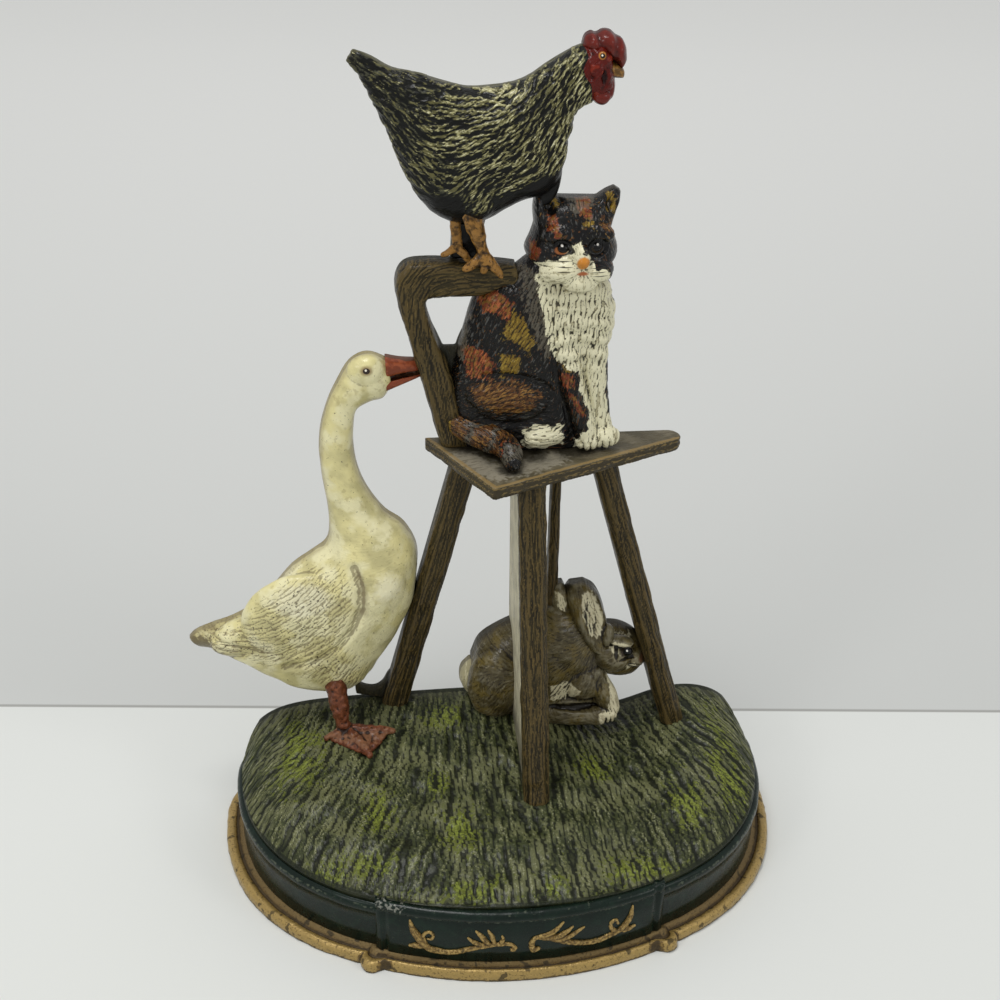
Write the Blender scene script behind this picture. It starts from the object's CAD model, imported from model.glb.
"""Painted cast iron doorstop: hen, cat, goose and rabbit in relief around a stool.

Forms are modelled in millimetres in the casting's own frame: x = 0 is the middle of the
base, y = 0 its flat back with -Y to the front, and z = 0 the floor. A piece moves to the
model's frame, in metres, when it is finished.
"""
import logging
import math
from dataclasses import dataclass
from enum import Enum

import bmesh
import bpy
import numpy as np
from mathutils import Matrix, Vector


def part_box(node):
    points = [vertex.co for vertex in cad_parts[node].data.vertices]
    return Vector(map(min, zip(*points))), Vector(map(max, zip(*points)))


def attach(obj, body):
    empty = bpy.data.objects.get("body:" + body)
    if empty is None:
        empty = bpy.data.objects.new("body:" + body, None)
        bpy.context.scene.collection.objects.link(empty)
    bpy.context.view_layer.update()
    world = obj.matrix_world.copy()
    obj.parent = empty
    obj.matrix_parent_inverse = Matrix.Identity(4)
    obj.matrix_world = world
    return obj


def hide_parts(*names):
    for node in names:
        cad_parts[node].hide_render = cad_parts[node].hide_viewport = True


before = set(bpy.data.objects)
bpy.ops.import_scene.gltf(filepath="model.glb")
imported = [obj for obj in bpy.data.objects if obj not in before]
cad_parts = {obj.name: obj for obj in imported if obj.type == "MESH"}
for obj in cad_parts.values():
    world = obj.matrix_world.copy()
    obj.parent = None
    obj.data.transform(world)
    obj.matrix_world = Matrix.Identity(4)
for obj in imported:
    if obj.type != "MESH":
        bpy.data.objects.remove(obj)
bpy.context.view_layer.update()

LOG = logging.getLogger("doorstop")
MM = 0.001
FLANGE_LOW, FLANGE_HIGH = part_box("foot_flange")
ORIGIN = np.array(((FLANGE_LOW[0] + FLANGE_HIGH[0]) / 2, FLANGE_HIGH[1], FLANGE_LOW[2]))
Colour = tuple[float, float, float]
Pair = tuple[float, float]
Rows = tuple[tuple[float, ...], ...]


def tint(red: float, green: float, blue: float) -> Colour:
    """Return the linear colour of a display colour given from 0 to 255."""
    return tuple(((value / 255 + 0.055) / 1.055) ** 2.4 if value > 10.3 else value / 3294.6
        for value in (red, green, blue))


def curved(rows: Rows, steps: int) -> np.ndarray:
    """Add smooth in-between rows to a table.

    Args:
        rows: Rows of numbers of equal length.
        steps: Rows out for each row in.
    Returns:
        The finer table, which passes through every given row.
    """
    table = np.array(rows, dtype=float)
    table = np.vstack((2 * table[0] - table[1], table, 2 * table[-1] - table[-2]))
    finer = []
    for before, start, end, after in zip(table, table[1:], table[2:], table[3:]):
        for part in np.arange(steps) / steps:
            finer.append(0.5 * (2 * start + (end - before) * part
                + (2 * before - 5 * start + 4 * end - after) * part ** 2
                + (3 * start - before - 3 * end + after) * part ** 3))
    finer.append(table[-2])
    return np.array(finer)


def ramp(values: np.ndarray, start: float, full: float) -> np.ndarray:
    """Return a smooth step from 0 at start to 1 at full."""
    share = np.clip((values - start) / (full - start), 0, 1)
    return share * share * (3 - 2 * share)


def mottle(spots: np.ndarray, size: float, seed: int) -> np.ndarray:
    """Return smooth random values from 0 to 1.

    Args:
        spots: Points, one a row.
        size: Size of the mottles in the points' unit.
        seed: Choice of pattern.
    Returns:
        One value for each point.
    """
    cells = spots / size
    base = np.floor(cells).astype(np.int64)
    part = cells - base
    part = part * part * (3 - 2 * part)
    total = np.zeros(len(spots))
    for corner in range(2 ** spots.shape[1]):
        offset = np.array([(corner >> axis) & 1 for axis in range(spots.shape[1])])
        mixed = ((base + offset) * np.array((73856093, 19349663, 83492791))[:spots.shape[1]])
        mixed = np.bitwise_xor.reduce(mixed, axis=1) ^ (seed * 2654435761 & 0xffffffff)
        mixed = ((mixed ^ (mixed >> 13)) * 1274126177) & 0x7fffffff
        value = ((mixed ^ (mixed >> 16)) & 0xffff) / 65535
        total += value * np.prod(np.where(offset, part, 1 - part), axis=1)
    return total


def line_distance(spots: np.ndarray, path: Rows) -> np.ndarray:
    """Return each flat point's distance from a broken line.

    Args:
        spots: Flat points, one a row.
        path: Corners of the line.
    Returns:
        One distance for each point.
    """
    points = np.array(path, dtype=float)
    best = np.full(len(spots), 1e9)
    for start, end in zip(points, points[1:]):
        run = end - start
        share = np.clip((spots - start) @ run / (run @ run), 0, 1)
        best = np.minimum(best, np.linalg.norm(spots - start - share[:, None] * run, axis=1))
    return best


def near(values: np.ndarray, middle: float, reach: float, full: float) -> np.ndarray:
    """Return a smooth step from 0 at a reach from a middle value to 1 close to it."""
    return ramp(-np.abs(values - middle), -reach, -full)


def near_line(spots: np.ndarray, path: Rows, reach: float, full: float) -> np.ndarray:
    """Return a smooth step from 0 at a reach from a broken line to 1 close to it."""
    return ramp(-line_distance(spots, path), -reach, -full)


def near_oval(spots: np.ndarray, centre: Pair, radii: Pair, reach: float, full: float) -> np.ndarray:
    """Return a smooth step from 0 at so many radii from an oval's centre to 1 close to it."""
    return ramp(-np.linalg.norm((spots - centre) / radii, axis=1), -reach, -full)


def uneven(spots: np.ndarray, size: float, seed: int, depth: float) -> np.ndarray:
    """Return smooth random heights, over a range of depth around 0."""
    return depth * (mottle(spots, size, seed) - 0.5)


def patch(spots: np.ndarray, outline: Rows, soft: float) -> np.ndarray:
    """Return 1 inside an outline, 0 outside it, with a soft edge.

    Args:
        spots: Flat points, one a row.
        outline: Corners of the outline.
        soft: Half the width of its edge.
    Returns:
        One share for each point, 0.5 on the outline.
    """
    corners = np.array(outline, dtype=float)
    inside = np.zeros(len(spots), dtype=bool)
    for start, end in zip(corners, np.roll(corners, -1, axis=0)):
        crosses = (start[1] > spots[:, 1]) != (end[1] > spots[:, 1])
        slope = (end[0] - start[0]) / (end[1] - start[1] + 1e-9)
        inside ^= crosses & (spots[:, 0] < start[0] + slope * (spots[:, 1] - start[1]))
    away = line_distance(spots, tuple(map(tuple, corners)) + (tuple(corners[0]),))
    return np.clip(0.5 + np.where(inside, away, -away) / (2 * soft), 0, 1)


@dataclass(frozen=True)
class Brush:
    """Strokes that follow a flow across a surface.

    Sizes are in millimetres. A row of the flow is (across, up, run across, run up).
    """

    flow: Rows
    length: float
    width: float
    spacing: float
    wave: float = 0.0
    seed: int = 1
    comb_cells = 50
    comb_rounds = 1200

    def headings(self, places: np.ndarray) -> np.ndarray:
        """Read the flow's direction.

        Args:
            places: Flat points, one a row.
        Returns:
            The direction at each place, one a row.
        """
        arrows = np.array(self.flow, dtype=float)
        pull = 1 / (((places[:, None] - arrows[None, :, :2]) ** 2).sum(axis=2) + 4.0) ** 1.5
        runs = arrows[:, 2:] / np.linalg.norm(arrows[:, 2:], axis=1)[:, None]
        total = (runs[None] * pull[:, :, None]).sum(axis=1)
        return total / (np.linalg.norm(total, axis=1)[:, None] + 1e-9)

    def lay(self, spots: np.ndarray) -> tuple[np.ndarray, np.ndarray]:
        """Lay the strokes.

        Args:
            spots: Flat points of the surface, one a row.
        Returns:
            How high each point lies on a stroke, and its stroke's tone, both 0 to 1.
        """
        chance = np.random.default_rng(self.seed)
        cell = math.sqrt(self.spacing * self.length * 0.6)
        low, high = spots.min(axis=0) - cell, spots.max(axis=0) + cell
        order = np.argsort(spots[:, 0])
        ordered = spots[order]
        ridge, tone = np.zeros(len(spots)), np.zeros(len(spots))
        places = np.array([(across, up) for across in np.arange(low[0], high[0], cell)
            for up in np.arange(low[1], high[1], cell)])
        places += chance.uniform(-0.5, 0.5, places.shape) * cell
        for spot, run in zip(places, self.headings(places)):
            half = self.length * chance.uniform(0.3, 0.7)
            width = self.width * chance.uniform(0.35, 0.65)
            phase, shade, curl = chance.uniform(0, 6.3), chance.uniform(0.3, 1.0), chance.normal(0, 0.12)
            first, last = np.searchsorted(ordered[:, 0], (spot[0] - half, spot[0] + half))
            near = ordered[first:last] - spot
            along = near @ run
            aside = near @ np.array((-run[1], run[0]))
            aside = aside - curl * along ** 2 / half
            aside = aside - self.wave * (np.sin(along * 0.8 + phase)
                + 0.5 * np.sin(along * 2.1 + 2 * phase))
            rise = (1 - (aside / width) ** 2) * (1 - (along / half) ** 2)
            rise = np.where((np.abs(aside) < width) & (np.abs(along) < half), np.sqrt(np.abs(rise)), 0)
            picked = order[first:last]
            higher = rise > ridge[picked]
            ridge[picked[higher]] = rise[higher]
            tone[picked[higher]] = shade
        return ridge, tone

    def comb(self, spots: np.ndarray) -> np.ndarray:
        """Measure along the flow and across it.

        Args:
            spots: Flat points, one a row.
        Returns:
            How far each point lies along the flow and across it, in millimetres.
        """
        low = spots.min(axis=0)
        cell = float((spots.max(axis=0) - low).max()) / self.comb_cells
        count = np.ceil((spots.max(axis=0) - low) / cell).astype(int) + 2
        grid = np.stack(np.meshgrid(*(np.arange(number) for number in count), indexing="ij"), axis=2)
        runs = self.headings(grid.reshape(-1, 2) * cell + low).reshape(*count, 2) * cell
        place = (spots - low) / cell
        base = np.floor(place).astype(int)
        part = place - base
        combed = []
        for right, rise in ((runs[..., 0], runs[..., 1]), (-runs[..., 1], runs[..., 0])):
            field = grid[..., 0] * right.mean() + grid[..., 1] * rise.mean()
            right, rise = (right[1:] + right[:-1]) / 2, (rise[:, 1:] + rise[:, :-1]) / 2
            for _ in range(self.comb_rounds):
                total, links = np.zeros(count), np.zeros(count)
                for here, there, step in (((slice(1, None),), (slice(None, -1),), right),
                        ((slice(None, -1),), (slice(1, None),), -right),
                        ((slice(None), slice(1, None)), (slice(None), slice(None, -1)), rise),
                        ((slice(None), slice(None, -1)), (slice(None), slice(1, None)), -rise)):
                    total[here] += field[there] + step
                    links[here] += 1
                field = total / links
            value = np.zeros(len(spots))
            for dx, dy in ((0, 0), (1, 0), (0, 1), (1, 1)):
                share = (part[:, 0] if dx else 1 - part[:, 0]) * (part[:, 1] if dy else 1 - part[:, 1])
                value += field[base[:, 0] + dx, base[:, 1] + dy] * share
            combed.append(value)
        return np.column_stack(combed)


class Skin:
    """Surface of a piece, held as arrays while it is carved and painted."""

    back_reach = 0.02          # how far before the back plane a point still belongs to the back
    back_step = 0.02           # how much deeper each back lies than the one before
    laid = 0                   # backs laid so far
    fade = 2.0                 # depth before the back over which relief fades out

    def __init__(self, mesh: bpy.types.Mesh, flat_back: bool = True) -> None:
        """Read a mesh's points and edges.

        Args:
            mesh: The mesh.
            flat_back: Whether the piece has a flat back on the back plane.
        """
        self.mesh = mesh
        self.spots = np.empty(len(mesh.vertices) * 3)
        mesh.vertices.foreach_get("co", self.spots)
        self.spots = self.spots.reshape(-1, 3)
        pairs = np.empty(len(mesh.edges) * 2, dtype=np.int64)
        mesh.edges.foreach_get("vertices", pairs)
        self.first, self.second = pairs.reshape(-1, 2).T
        self.valence = np.bincount(np.concatenate((self.first, self.second)), minlength=len(self.spots))
        self.back = self.spots[:, 1] > -self.back_reach if flat_back else np.zeros(len(self.spots),
            dtype=bool)
        self.masks: dict[str, np.ndarray] = {}
        self.combed: np.ndarray | None = None

    def front(self) -> np.ndarray:
        """Return the points as seen from the front, (across, up)."""
        return self.spots[:, [0, 2]]

    def around(self, values: np.ndarray, rounds: int) -> np.ndarray:
        """Average values with their neighbours.

        Args:
            values: One value for each point.
            rounds: How often they are averaged.
        Returns:
            The evened values.
        """
        for _ in range(rounds):
            total = np.bincount(self.first, values[self.second], len(values))
            total += np.bincount(self.second, values[self.first], len(values))
            values = 0.4 * values + 0.6 * total / np.maximum(self.valence, 1)
        return values

    def smooth(self, rounds: int) -> None:
        """Smooth the surface, all but its flat back."""
        softer = np.column_stack([self.around(self.spots[:, axis], rounds) for axis in range(3)])
        self.spots = np.where(self.back[:, None], self.spots, softer)

    def normals(self) -> np.ndarray:
        """Find the outward directions.

        Returns:
            One direction for each point.
        """
        self.mesh.vertices.foreach_set("co", self.spots.ravel())
        self.mesh.update()
        found = np.empty(len(self.spots) * 3)
        self.mesh.vertex_normals.foreach_get("vector", found)
        return found.reshape(-1, 3)

    def groom(self, brush: Brush, spots: np.ndarray) -> tuple[np.ndarray, np.ndarray]:
        """Lay a brush's strokes and comb the paint's grain along them.

        Args:
            brush: The strokes.
            spots: Flat points of the surface, one a row.
        Returns:
            How high each point lies on a stroke, and its stroke's tone, both 0 to 1.
        """
        self.combed = brush.comb(spots)
        return brush.lay(spots)

    def push(self, heights: np.ndarray) -> None:
        """Move the surface out by heights in millimetres, less and less towards its back."""
        ease = np.clip(-self.spots[:, 1] / self.fade, 0, 1) if self.back.any() else 1.0
        self.spots = self.spots + self.normals() * (heights * ease)[:, None]

    def read_relief(self) -> None:
        """Keep masks of the hollows, fine and broad, the undersides and the side wall."""
        normals = self.normals()
        for name, rounds, gain in (("fine", 3, 9.0), ("broad", 24, 1.6)):
            softer = np.column_stack([self.around(self.spots[:, axis], rounds) for axis in range(3)])
            depth = ((softer - self.spots) * normals).sum(axis=1) * gain
            depth[self.back] = 0
            self.masks[name] = np.clip(0.5 + depth, 0, 1)
        self.masks["under"] = ramp(-normals[:, 2], 0.1, 0.95)
        self.masks["turn"] = ramp(self.spots[:, 1], -9.0, -3.0)
        wobble = uneven(self.front(), 3.0, 7, 1.2)
        self.masks["side"] = ramp(self.spots[:, 1] + wobble, -4.2, -2.4)

    def place(self, node: str, slot: str, finish: "Finish") -> None:
        """Finish the piece: move it to the model's frame, paint it and put it in place.

        Args:
            node: CAD node that it stands for.
            slot: Material slot of the record.
            finish: Its paint.
        """
        Skin.laid += 1
        self.spots[self.back, 1] -= self.back_step * Skin.laid
        self.mesh.vertices.foreach_set("co", (self.spots * MM + ORIGIN).ravel())
        self.mesh.update()
        self.mesh.shade_smooth()
        for face in self.mesh.polygons:
            if face.loop_total > 6:
                face.use_smooth = False
        for name, values in self.masks.items():
            layer = self.mesh.attributes.new(name, "FLOAT", "POINT")
            layer.data.foreach_set("value", values.astype(np.float32))
        combed = self.front() if self.combed is None else self.combed
        combed = np.column_stack((combed, self.spots[:, 1] * 0.7)).astype(np.float32)
        self.mesh.attributes.new("combed", "FLOAT_VECTOR", "POINT").data.foreach_set("vector",
            combed.ravel())
        self.mesh.name = node + "_cast"
        piece = bpy.data.objects.new(node + "_cast", self.mesh)
        bpy.context.scene.collection.objects.link(piece)
        self.mesh.materials.clear()
        self.mesh.materials.append(mix_paint(finish))
        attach(piece, "root")
        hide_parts(node)
        LOG.info("%s: %d points in %s", piece.name, len(self.spots), finish.name)


class Clay:
    """Lumps of a form, in millimetres, that are fused into one closed surface."""

    arc_points = 27            # points of a slab's half-round section
    slab_steps = 4             # sections of a slab for each row given
    run_on = (0, 2, 0)         # how far a slab runs on behind the back plane, to be cut off there

    def __init__(self) -> None:
        """Start without lumps."""
        self.bm = bmesh.new()

    def add(self, lump: bmesh.types.BMesh) -> None:
        """Take in a closed lump.

        Args:
            lump: Its mesh, which is used up.
        """
        bmesh.ops.recalc_face_normals(lump, faces=lump.faces[:])
        mesh = bpy.data.meshes.new("lump")
        lump.to_mesh(mesh)
        lump.free()
        self.bm.from_mesh(mesh)
        bpy.data.meshes.remove(mesh)

    def loft(self, rings: np.ndarray) -> None:
        """Take in a closed loft.

        Args:
            rings: Rings of points, an array (rings, points, 3).
        """
        count, around = rings.shape[:2]
        lump = bmesh.new()
        bmesh.ops.create_grid(lump, x_segments=around, y_segments=count - 1, size=1.0)
        for index, vert in enumerate(lump.verts):
            row, column = divmod(index, around + 1)
            vert.co = rings[row][column % around]
        bmesh.ops.remove_doubles(lump, verts=lump.verts[:], dist=0.001)
        rim = [edge for edge in lump.edges if edge.is_boundary]
        bmesh.ops.holes_fill(lump, edges=rim, sides=0)
        self.add(lump)

    def slab(self, rows: Rows, fullness: float, lift: float = 0.0) -> None:
        """Take in a half-round relief that stands on the back plane.

        Args:
            rows: Sections (x, z, x, z, depth): their two ends and how far they stand out.
            fullness: Shape of the section; 1 is an ellipse, less is fuller.
            lift: Height of the place that the rows are drawn from.
        """
        angles = np.linspace(0, math.pi, self.arc_points)
        across = np.sign(np.cos(angles)) * np.abs(np.cos(angles)) ** fullness
        rise = np.sin(angles).clip(0) ** fullness
        rings = []
        raised = tuple((x1, z1 + lift, x2, z2 + lift, depth) for x1, z1, x2, z2, depth in rows)
        for x1, z1, x2, z2, depth in curved(raised, self.slab_steps):
            one, two = np.array((x1, 0, z1)), np.array((x2, 0, z2))
            ring = (one + two) / 2 + np.outer(across, (one - two) / 2) - np.outer(rise, (0, depth, 0))
            rings.append(np.vstack((ring, two + self.run_on, one + self.run_on)))
        self.loft(np.array(rings))

    def ball(self, x: float, y: float, z: float, radii: tuple[float, float, float],
            turn: float = 0.0) -> None:
        """Take in an egg-shaped lump.

        Args:
            x: Its middle, to the right.
            y: Its middle, to the back.
            z: Its middle, up.
            radii: Half its width, depth and height.
            turn: Turn in degrees, as seen from the front.
        """
        spin = Matrix.Rotation(math.radians(-turn), 4, "Y")
        matrix = Matrix.Translation((x, y, z)) @ spin @ Matrix.Diagonal((*radii, 1.0))
        lump = bmesh.new()
        bmesh.ops.create_uvsphere(lump, u_segments=28, v_segments=16, radius=1.0, matrix=matrix)
        self.add(lump)

    def limb(self, path: Rows, steps: int = 5, sides: int = 16) -> None:
        """Take in a round limb with round ends.

        Args:
            path: Points (x, y, z, radius) along it.
            steps: Rings for each point.
            sides: Points of each ring.
        """
        table = curved(path, steps)
        rings = []
        for index, (x, y, z, radius) in enumerate(table):
            run = table[min(index + 1, len(table) - 1)] - table[max(index - 1, 0)]
            turn = Vector(run[:3]).to_track_quat("Z", "Y")
            rings.append([Vector((x, y, z)) + turn @ Vector(
                (radius * math.cos(angle), radius * math.sin(angle), 0))
                for angle in np.linspace(0, 2 * math.pi, sides, endpoint=False)])
        self.loft(np.array(rings))
        for x, y, z, radius in (table[0], table[-1]):
            self.ball(x, y, z, (radius, radius, radius))

    def block(self, sections: tuple[tuple[tuple[float, float, float], ...], ...], steps: int = 6) -> None:
        """Take in a straight bar.

        Args:
            sections: Cross-sections of corners (x, y, z).
            steps: Rings for each section.
        """
        rings = []
        for start, end in zip(sections, sections[1:]):
            start, end = np.array(start, dtype=float), np.array(end, dtype=float)
            rings += [start + (end - start) * step / steps for step in range(steps)]
        rings.append(np.array(sections[-1], dtype=float))
        self.loft(np.array(rings))

    def as_built(self) -> Skin:
        """Take the lumps as they are, without fusing them.

        Returns:
            Their surface.
        """
        mesh = bpy.data.meshes.new("form")
        self.bm.to_mesh(mesh)
        self.bm.free()
        return Skin(mesh, flat_back=False)

    def fuse(self, voxel: float, rounds: int, flat_back: bool = True) -> Skin:
        """Fuse the lumps.

        Args:
            voxel: Fineness of the surface.
            rounds: How often it is smoothed.
            flat_back: Whether the form is cut off flat at the back plane.
        Returns:
            The fused surface.
        """
        mesh = bpy.data.meshes.new("clay")
        self.bm.to_mesh(mesh)
        self.bm.free()
        lump = bpy.data.objects.new("clay", mesh)
        bpy.context.scene.collection.objects.link(lump)
        remesh = lump.modifiers.new("fuse", "REMESH")
        remesh.mode = "VOXEL"
        remesh.voxel_size = voxel
        fused = bpy.data.meshes.new_from_object(lump.evaluated_get(bpy.context.evaluated_depsgraph_get()))
        bpy.data.objects.remove(lump)
        bpy.data.meshes.remove(mesh)
        if flat_back:
            bm = bmesh.new()
            bm.from_mesh(fused)
            bmesh.ops.bisect_plane(bm, geom=bm.verts[:] + bm.edges[:] + bm.faces[:], dist=0.0001,
                plane_co=(0, 0, 0), plane_no=(0, 1, 0), clear_outer=True)
            bmesh.ops.holes_fill(bm, edges=[edge for edge in bm.edges if edge.is_boundary], sides=0)
            bmesh.ops.recalc_face_normals(bm, faces=bm.faces[:])
            bm.to_mesh(fused)
            bm.free()
        skin = Skin(fused, flat_back)
        skin.smooth(rounds)
        return skin


@dataclass(frozen=True)
class Coat:
    """One colour over those below, where a mask of the piece is high enough.

    Without a mask it lies where its own grain is high enough.
    """

    colour: Colour
    mask: str = ""
    start: float = 0.4
    full: float = 0.6
    grain: float = 1.2         # size of the grain that breaks up its edge
    broken: float = 0.25       # how far the grain moves that edge
    strength: float = 1.0
    roughness: float | None = None
    stretch: float = 0.0       # how many times longer its grain is along the flow; 0 is even


@dataclass(frozen=True)
class Dot:
    """A painted spot, such as an eye, around a point of the casting."""

    colour: Colour
    centre: tuple[float, float, float]
    radii: tuple[float, float, float]
    soft: float = 0.25
    roughness: float | None = None


@dataclass(frozen=True)
class Finish:
    """Paint of a piece: a ground colour and the coats over it."""

    name: str
    colour: Colour
    coats: tuple[Coat | Dot, ...] = ()
    roughness: float = 0.5
    metallic: float = 0.0
    glaze: float = 0.0         # weight of the clear varnish
    pitting: float = 0.12      # depth of the cast surface's grain, in millimetres
    pit_size: float = 0.9
    strands: float = 0.0       # depth of the grain that runs along the flow, in millimetres
    strand_size: float = 0.6
    haze: float = 0.5          # how much the bare paint mirrors


class PaintTable:
    """Node mixer of one finish."""

    cloud_size = 9.0           # size of the clouds in the ground colour, in millimetres
    cloud_tones = (0.82, 1.12)
    varnish_roughness = 0.16

    def __init__(self, finish: Finish) -> None:
        """Lay out a new material.

        Args:
            finish: The finish to mix.
        """
        self.finish = finish
        self.material = bpy.data.materials.new(finish.name)
        self.material.use_nodes = True
        self.nodes = self.material.node_tree.nodes
        self.shader = self.nodes["Principled BSDF"]
        self.position = self.nodes.new("ShaderNodeTexCoord").outputs["Object"]

    def feed(self, socket: bpy.types.NodeSocket, value: object) -> None:
        """Link a socket to an output, or set its value.

        Args:
            socket: The socket.
            value: An output, or a plain value.
        """
        if isinstance(value, bpy.types.NodeSocket):
            self.material.node_tree.links.new(value, socket)
        else:
            socket.default_value = value

    def grain(self, size: float, detail: float = 3.0, stretch: float = 0.0) -> bpy.types.NodeSocket:
        """Add noise.

        Args:
            size: Size of its grain, in millimetres.
            detail: Octaves of it.
            stretch: How many times longer it is along the piece's flow; 0 is even.
        Returns:
            The noise, from 0 to 1.
        """
        node = self.nodes.new("ShaderNodeTexNoise")
        node.inputs["Detail"].default_value = detail
        if not stretch:
            self.feed(node.inputs["Vector"], self.position)
            node.inputs["Scale"].default_value = 1 / (size * MM)
            return node.outputs[0]
        comb = self.nodes.new("ShaderNodeMapping")
        self.feed(comb.inputs["Vector"], self.mask("combed", "Vector"))
        comb.inputs["Scale"].default_value = (1 / stretch, 1.0, 1.0)
        self.feed(node.inputs["Vector"], comb.outputs[0])
        node.inputs["Scale"].default_value = 1 / size
        return node.outputs[0]

    def sum(self, operation: str, *values: object) -> bpy.types.NodeSocket:
        """Add a Math node.

        Args:
            operation: What it works out.
            values: What it works on.
        Returns:
            Its result.
        """
        node = self.nodes.new("ShaderNodeMath")
        node.operation = operation
        for socket, value in zip(node.inputs, values):
            self.feed(socket, value)
        return node.outputs[0]

    def step(self, value: object, start: float, full: float) -> bpy.types.NodeSocket:
        """Add a smooth step.

        Args:
            value: What it reads.
            start: Value where it is 0.
            full: Value where it is 1.
        Returns:
            The step.
        """
        node = self.nodes.new("ShaderNodeMapRange")
        node.interpolation_type = "SMOOTHSTEP"
        self.feed(node.inputs["Value"], value)
        node.inputs["From Min"].default_value = start
        node.inputs["From Max"].default_value = full
        return node.outputs[0]

    def mask(self, name: str, output: str = "Fac") -> bpy.types.NodeSocket:
        """Read a mask that the piece carries.

        Args:
            name: Name of the mask.
            output: Output of the node to use.
        Returns:
            The mask.
        """
        node = self.nodes.new("ShaderNodeAttribute")
        node.attribute_name = name
        return node.outputs[output]

    def reach(self, coat: Coat) -> bpy.types.NodeSocket:
        """Find how far a coat covers what is below it.

        Args:
            coat: The coat.
        Returns:
            Its cover, 0 to 1.
        """
        noise = self.grain(coat.grain, stretch=coat.stretch)
        if coat.mask:
            edge = self.sum("MULTIPLY_ADD", noise, 4 * coat.broken, -2 * coat.broken)
            value = self.sum("ADD", edge, self.mask(coat.mask))
        else:
            value = noise
        covered = self.step(value, coat.start, coat.full)
        return self.sum("MULTIPLY", covered, coat.strength) if coat.strength < 1 else covered

    def spot(self, dot: Dot) -> bpy.types.NodeSocket:
        """Find where a painted spot lies.

        Args:
            dot: The spot.
        Returns:
            Its cover, 0 to 1.
        """
        node = self.nodes.new("ShaderNodeMapping")
        node.vector_type = "TEXTURE"
        self.feed(node.inputs["Vector"], self.position)
        node.inputs["Location"].default_value = tuple(np.array(dot.centre) * MM + ORIGIN)
        node.inputs["Scale"].default_value = tuple(radius * MM for radius in dot.radii)
        length = self.nodes.new("ShaderNodeVectorMath")
        length.operation = "LENGTH"
        self.feed(length.inputs[0], node.outputs[0])
        return self.step(length.outputs["Value"], 1.0 + dot.soft, 1.0 - dot.soft)

    def blend(self, kind: str, share: object, below: object, above: object) -> bpy.types.NodeSocket:
        """Mix two colours or two values.

        Args:
            kind: Data type of the Mix node.
            share: Share of the upper one.
            below: The lower one.
            above: The upper one.
        Returns:
            The mix.
        """
        node = self.nodes.new("ShaderNodeMix")
        node.data_type = kind
        factor, low, high = (0, 6, 7) if kind == "RGBA" else (0, 2, 3)
        self.feed(node.inputs[factor], share)
        for place, value in ((low, below), (high, above)):
            self.feed(node.inputs[place], (*value, 1.0) if isinstance(value, tuple) else value)
        return node.outputs[2 if kind == "RGBA" else 0]

    def mix(self) -> bpy.types.Material:
        """Mix the whole finish.

        Returns:
            Its material.
        """
        finish = self.finish
        colour: object = self.blend("RGBA", self.step(self.grain(self.cloud_size, 2.0), 0.35, 0.65),
            *(tuple(value * tone for value in finish.colour) for tone in self.cloud_tones))
        roughness: object = self.sum("MULTIPLY_ADD", self.grain(2.2), 0.3, finish.roughness - 0.15)
        for coat in finish.coats:
            share = self.spot(coat) if isinstance(coat, Dot) else self.reach(coat)
            colour = self.blend("RGBA", share, colour, coat.colour)
            if coat.roughness is not None:
                roughness = self.blend("FLOAT", share, roughness, coat.roughness)
        self.feed(self.shader.inputs["Base Color"], colour)
        self.feed(self.shader.inputs["Roughness"], roughness)
        self.shader.inputs["Metallic"].default_value = finish.metallic
        self.shader.inputs["Coat Weight"].default_value = finish.glaze
        self.shader.inputs["Coat Roughness"].default_value = self.varnish_roughness
        self.shader.inputs["Specular IOR Level"].default_value = finish.haze
        bump = self.nodes.new("ShaderNodeBump")
        if finish.strands:
            strands = self.nodes.new("ShaderNodeBump")
            strands.inputs["Distance"].default_value = finish.strands * MM * 4
            self.feed(strands.inputs["Height"], self.grain(finish.strand_size, 2.0, 7.0))
            self.feed(bump.inputs["Normal"], strands.outputs[0])
        bump.inputs["Distance"].default_value = finish.pitting * MM * 2
        height = self.sum("ADD", self.grain(finish.pit_size, 4.0), self.grain(finish.pit_size * 4.5, 2.0))
        self.feed(bump.inputs["Height"], height)
        self.feed(self.shader.inputs["Normal"], bump.outputs[0])
        return self.material


MIXED: dict[str, bpy.types.Material] = {}


def mix_paint(finish: Finish) -> bpy.types.Material:
    """Return a finish's material, mixed once.

    Args:
        finish: The finish.
    Returns:
        Its material.
    """
    if finish.name not in MIXED:
        MIXED[finish.name] = PaintTable(finish).mix()
    return MIXED[finish.name]


BLACK = tint(12, 12, 12)
CREAM = tint(228, 223, 190)
RUST = tint(116, 54, 28)
OCHRE = tint(122, 98, 32)
WASH = tint(22, 19, 12)
PUPIL = tint(10, 9, 9)
GLINT = tint(240, 236, 226)

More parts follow.
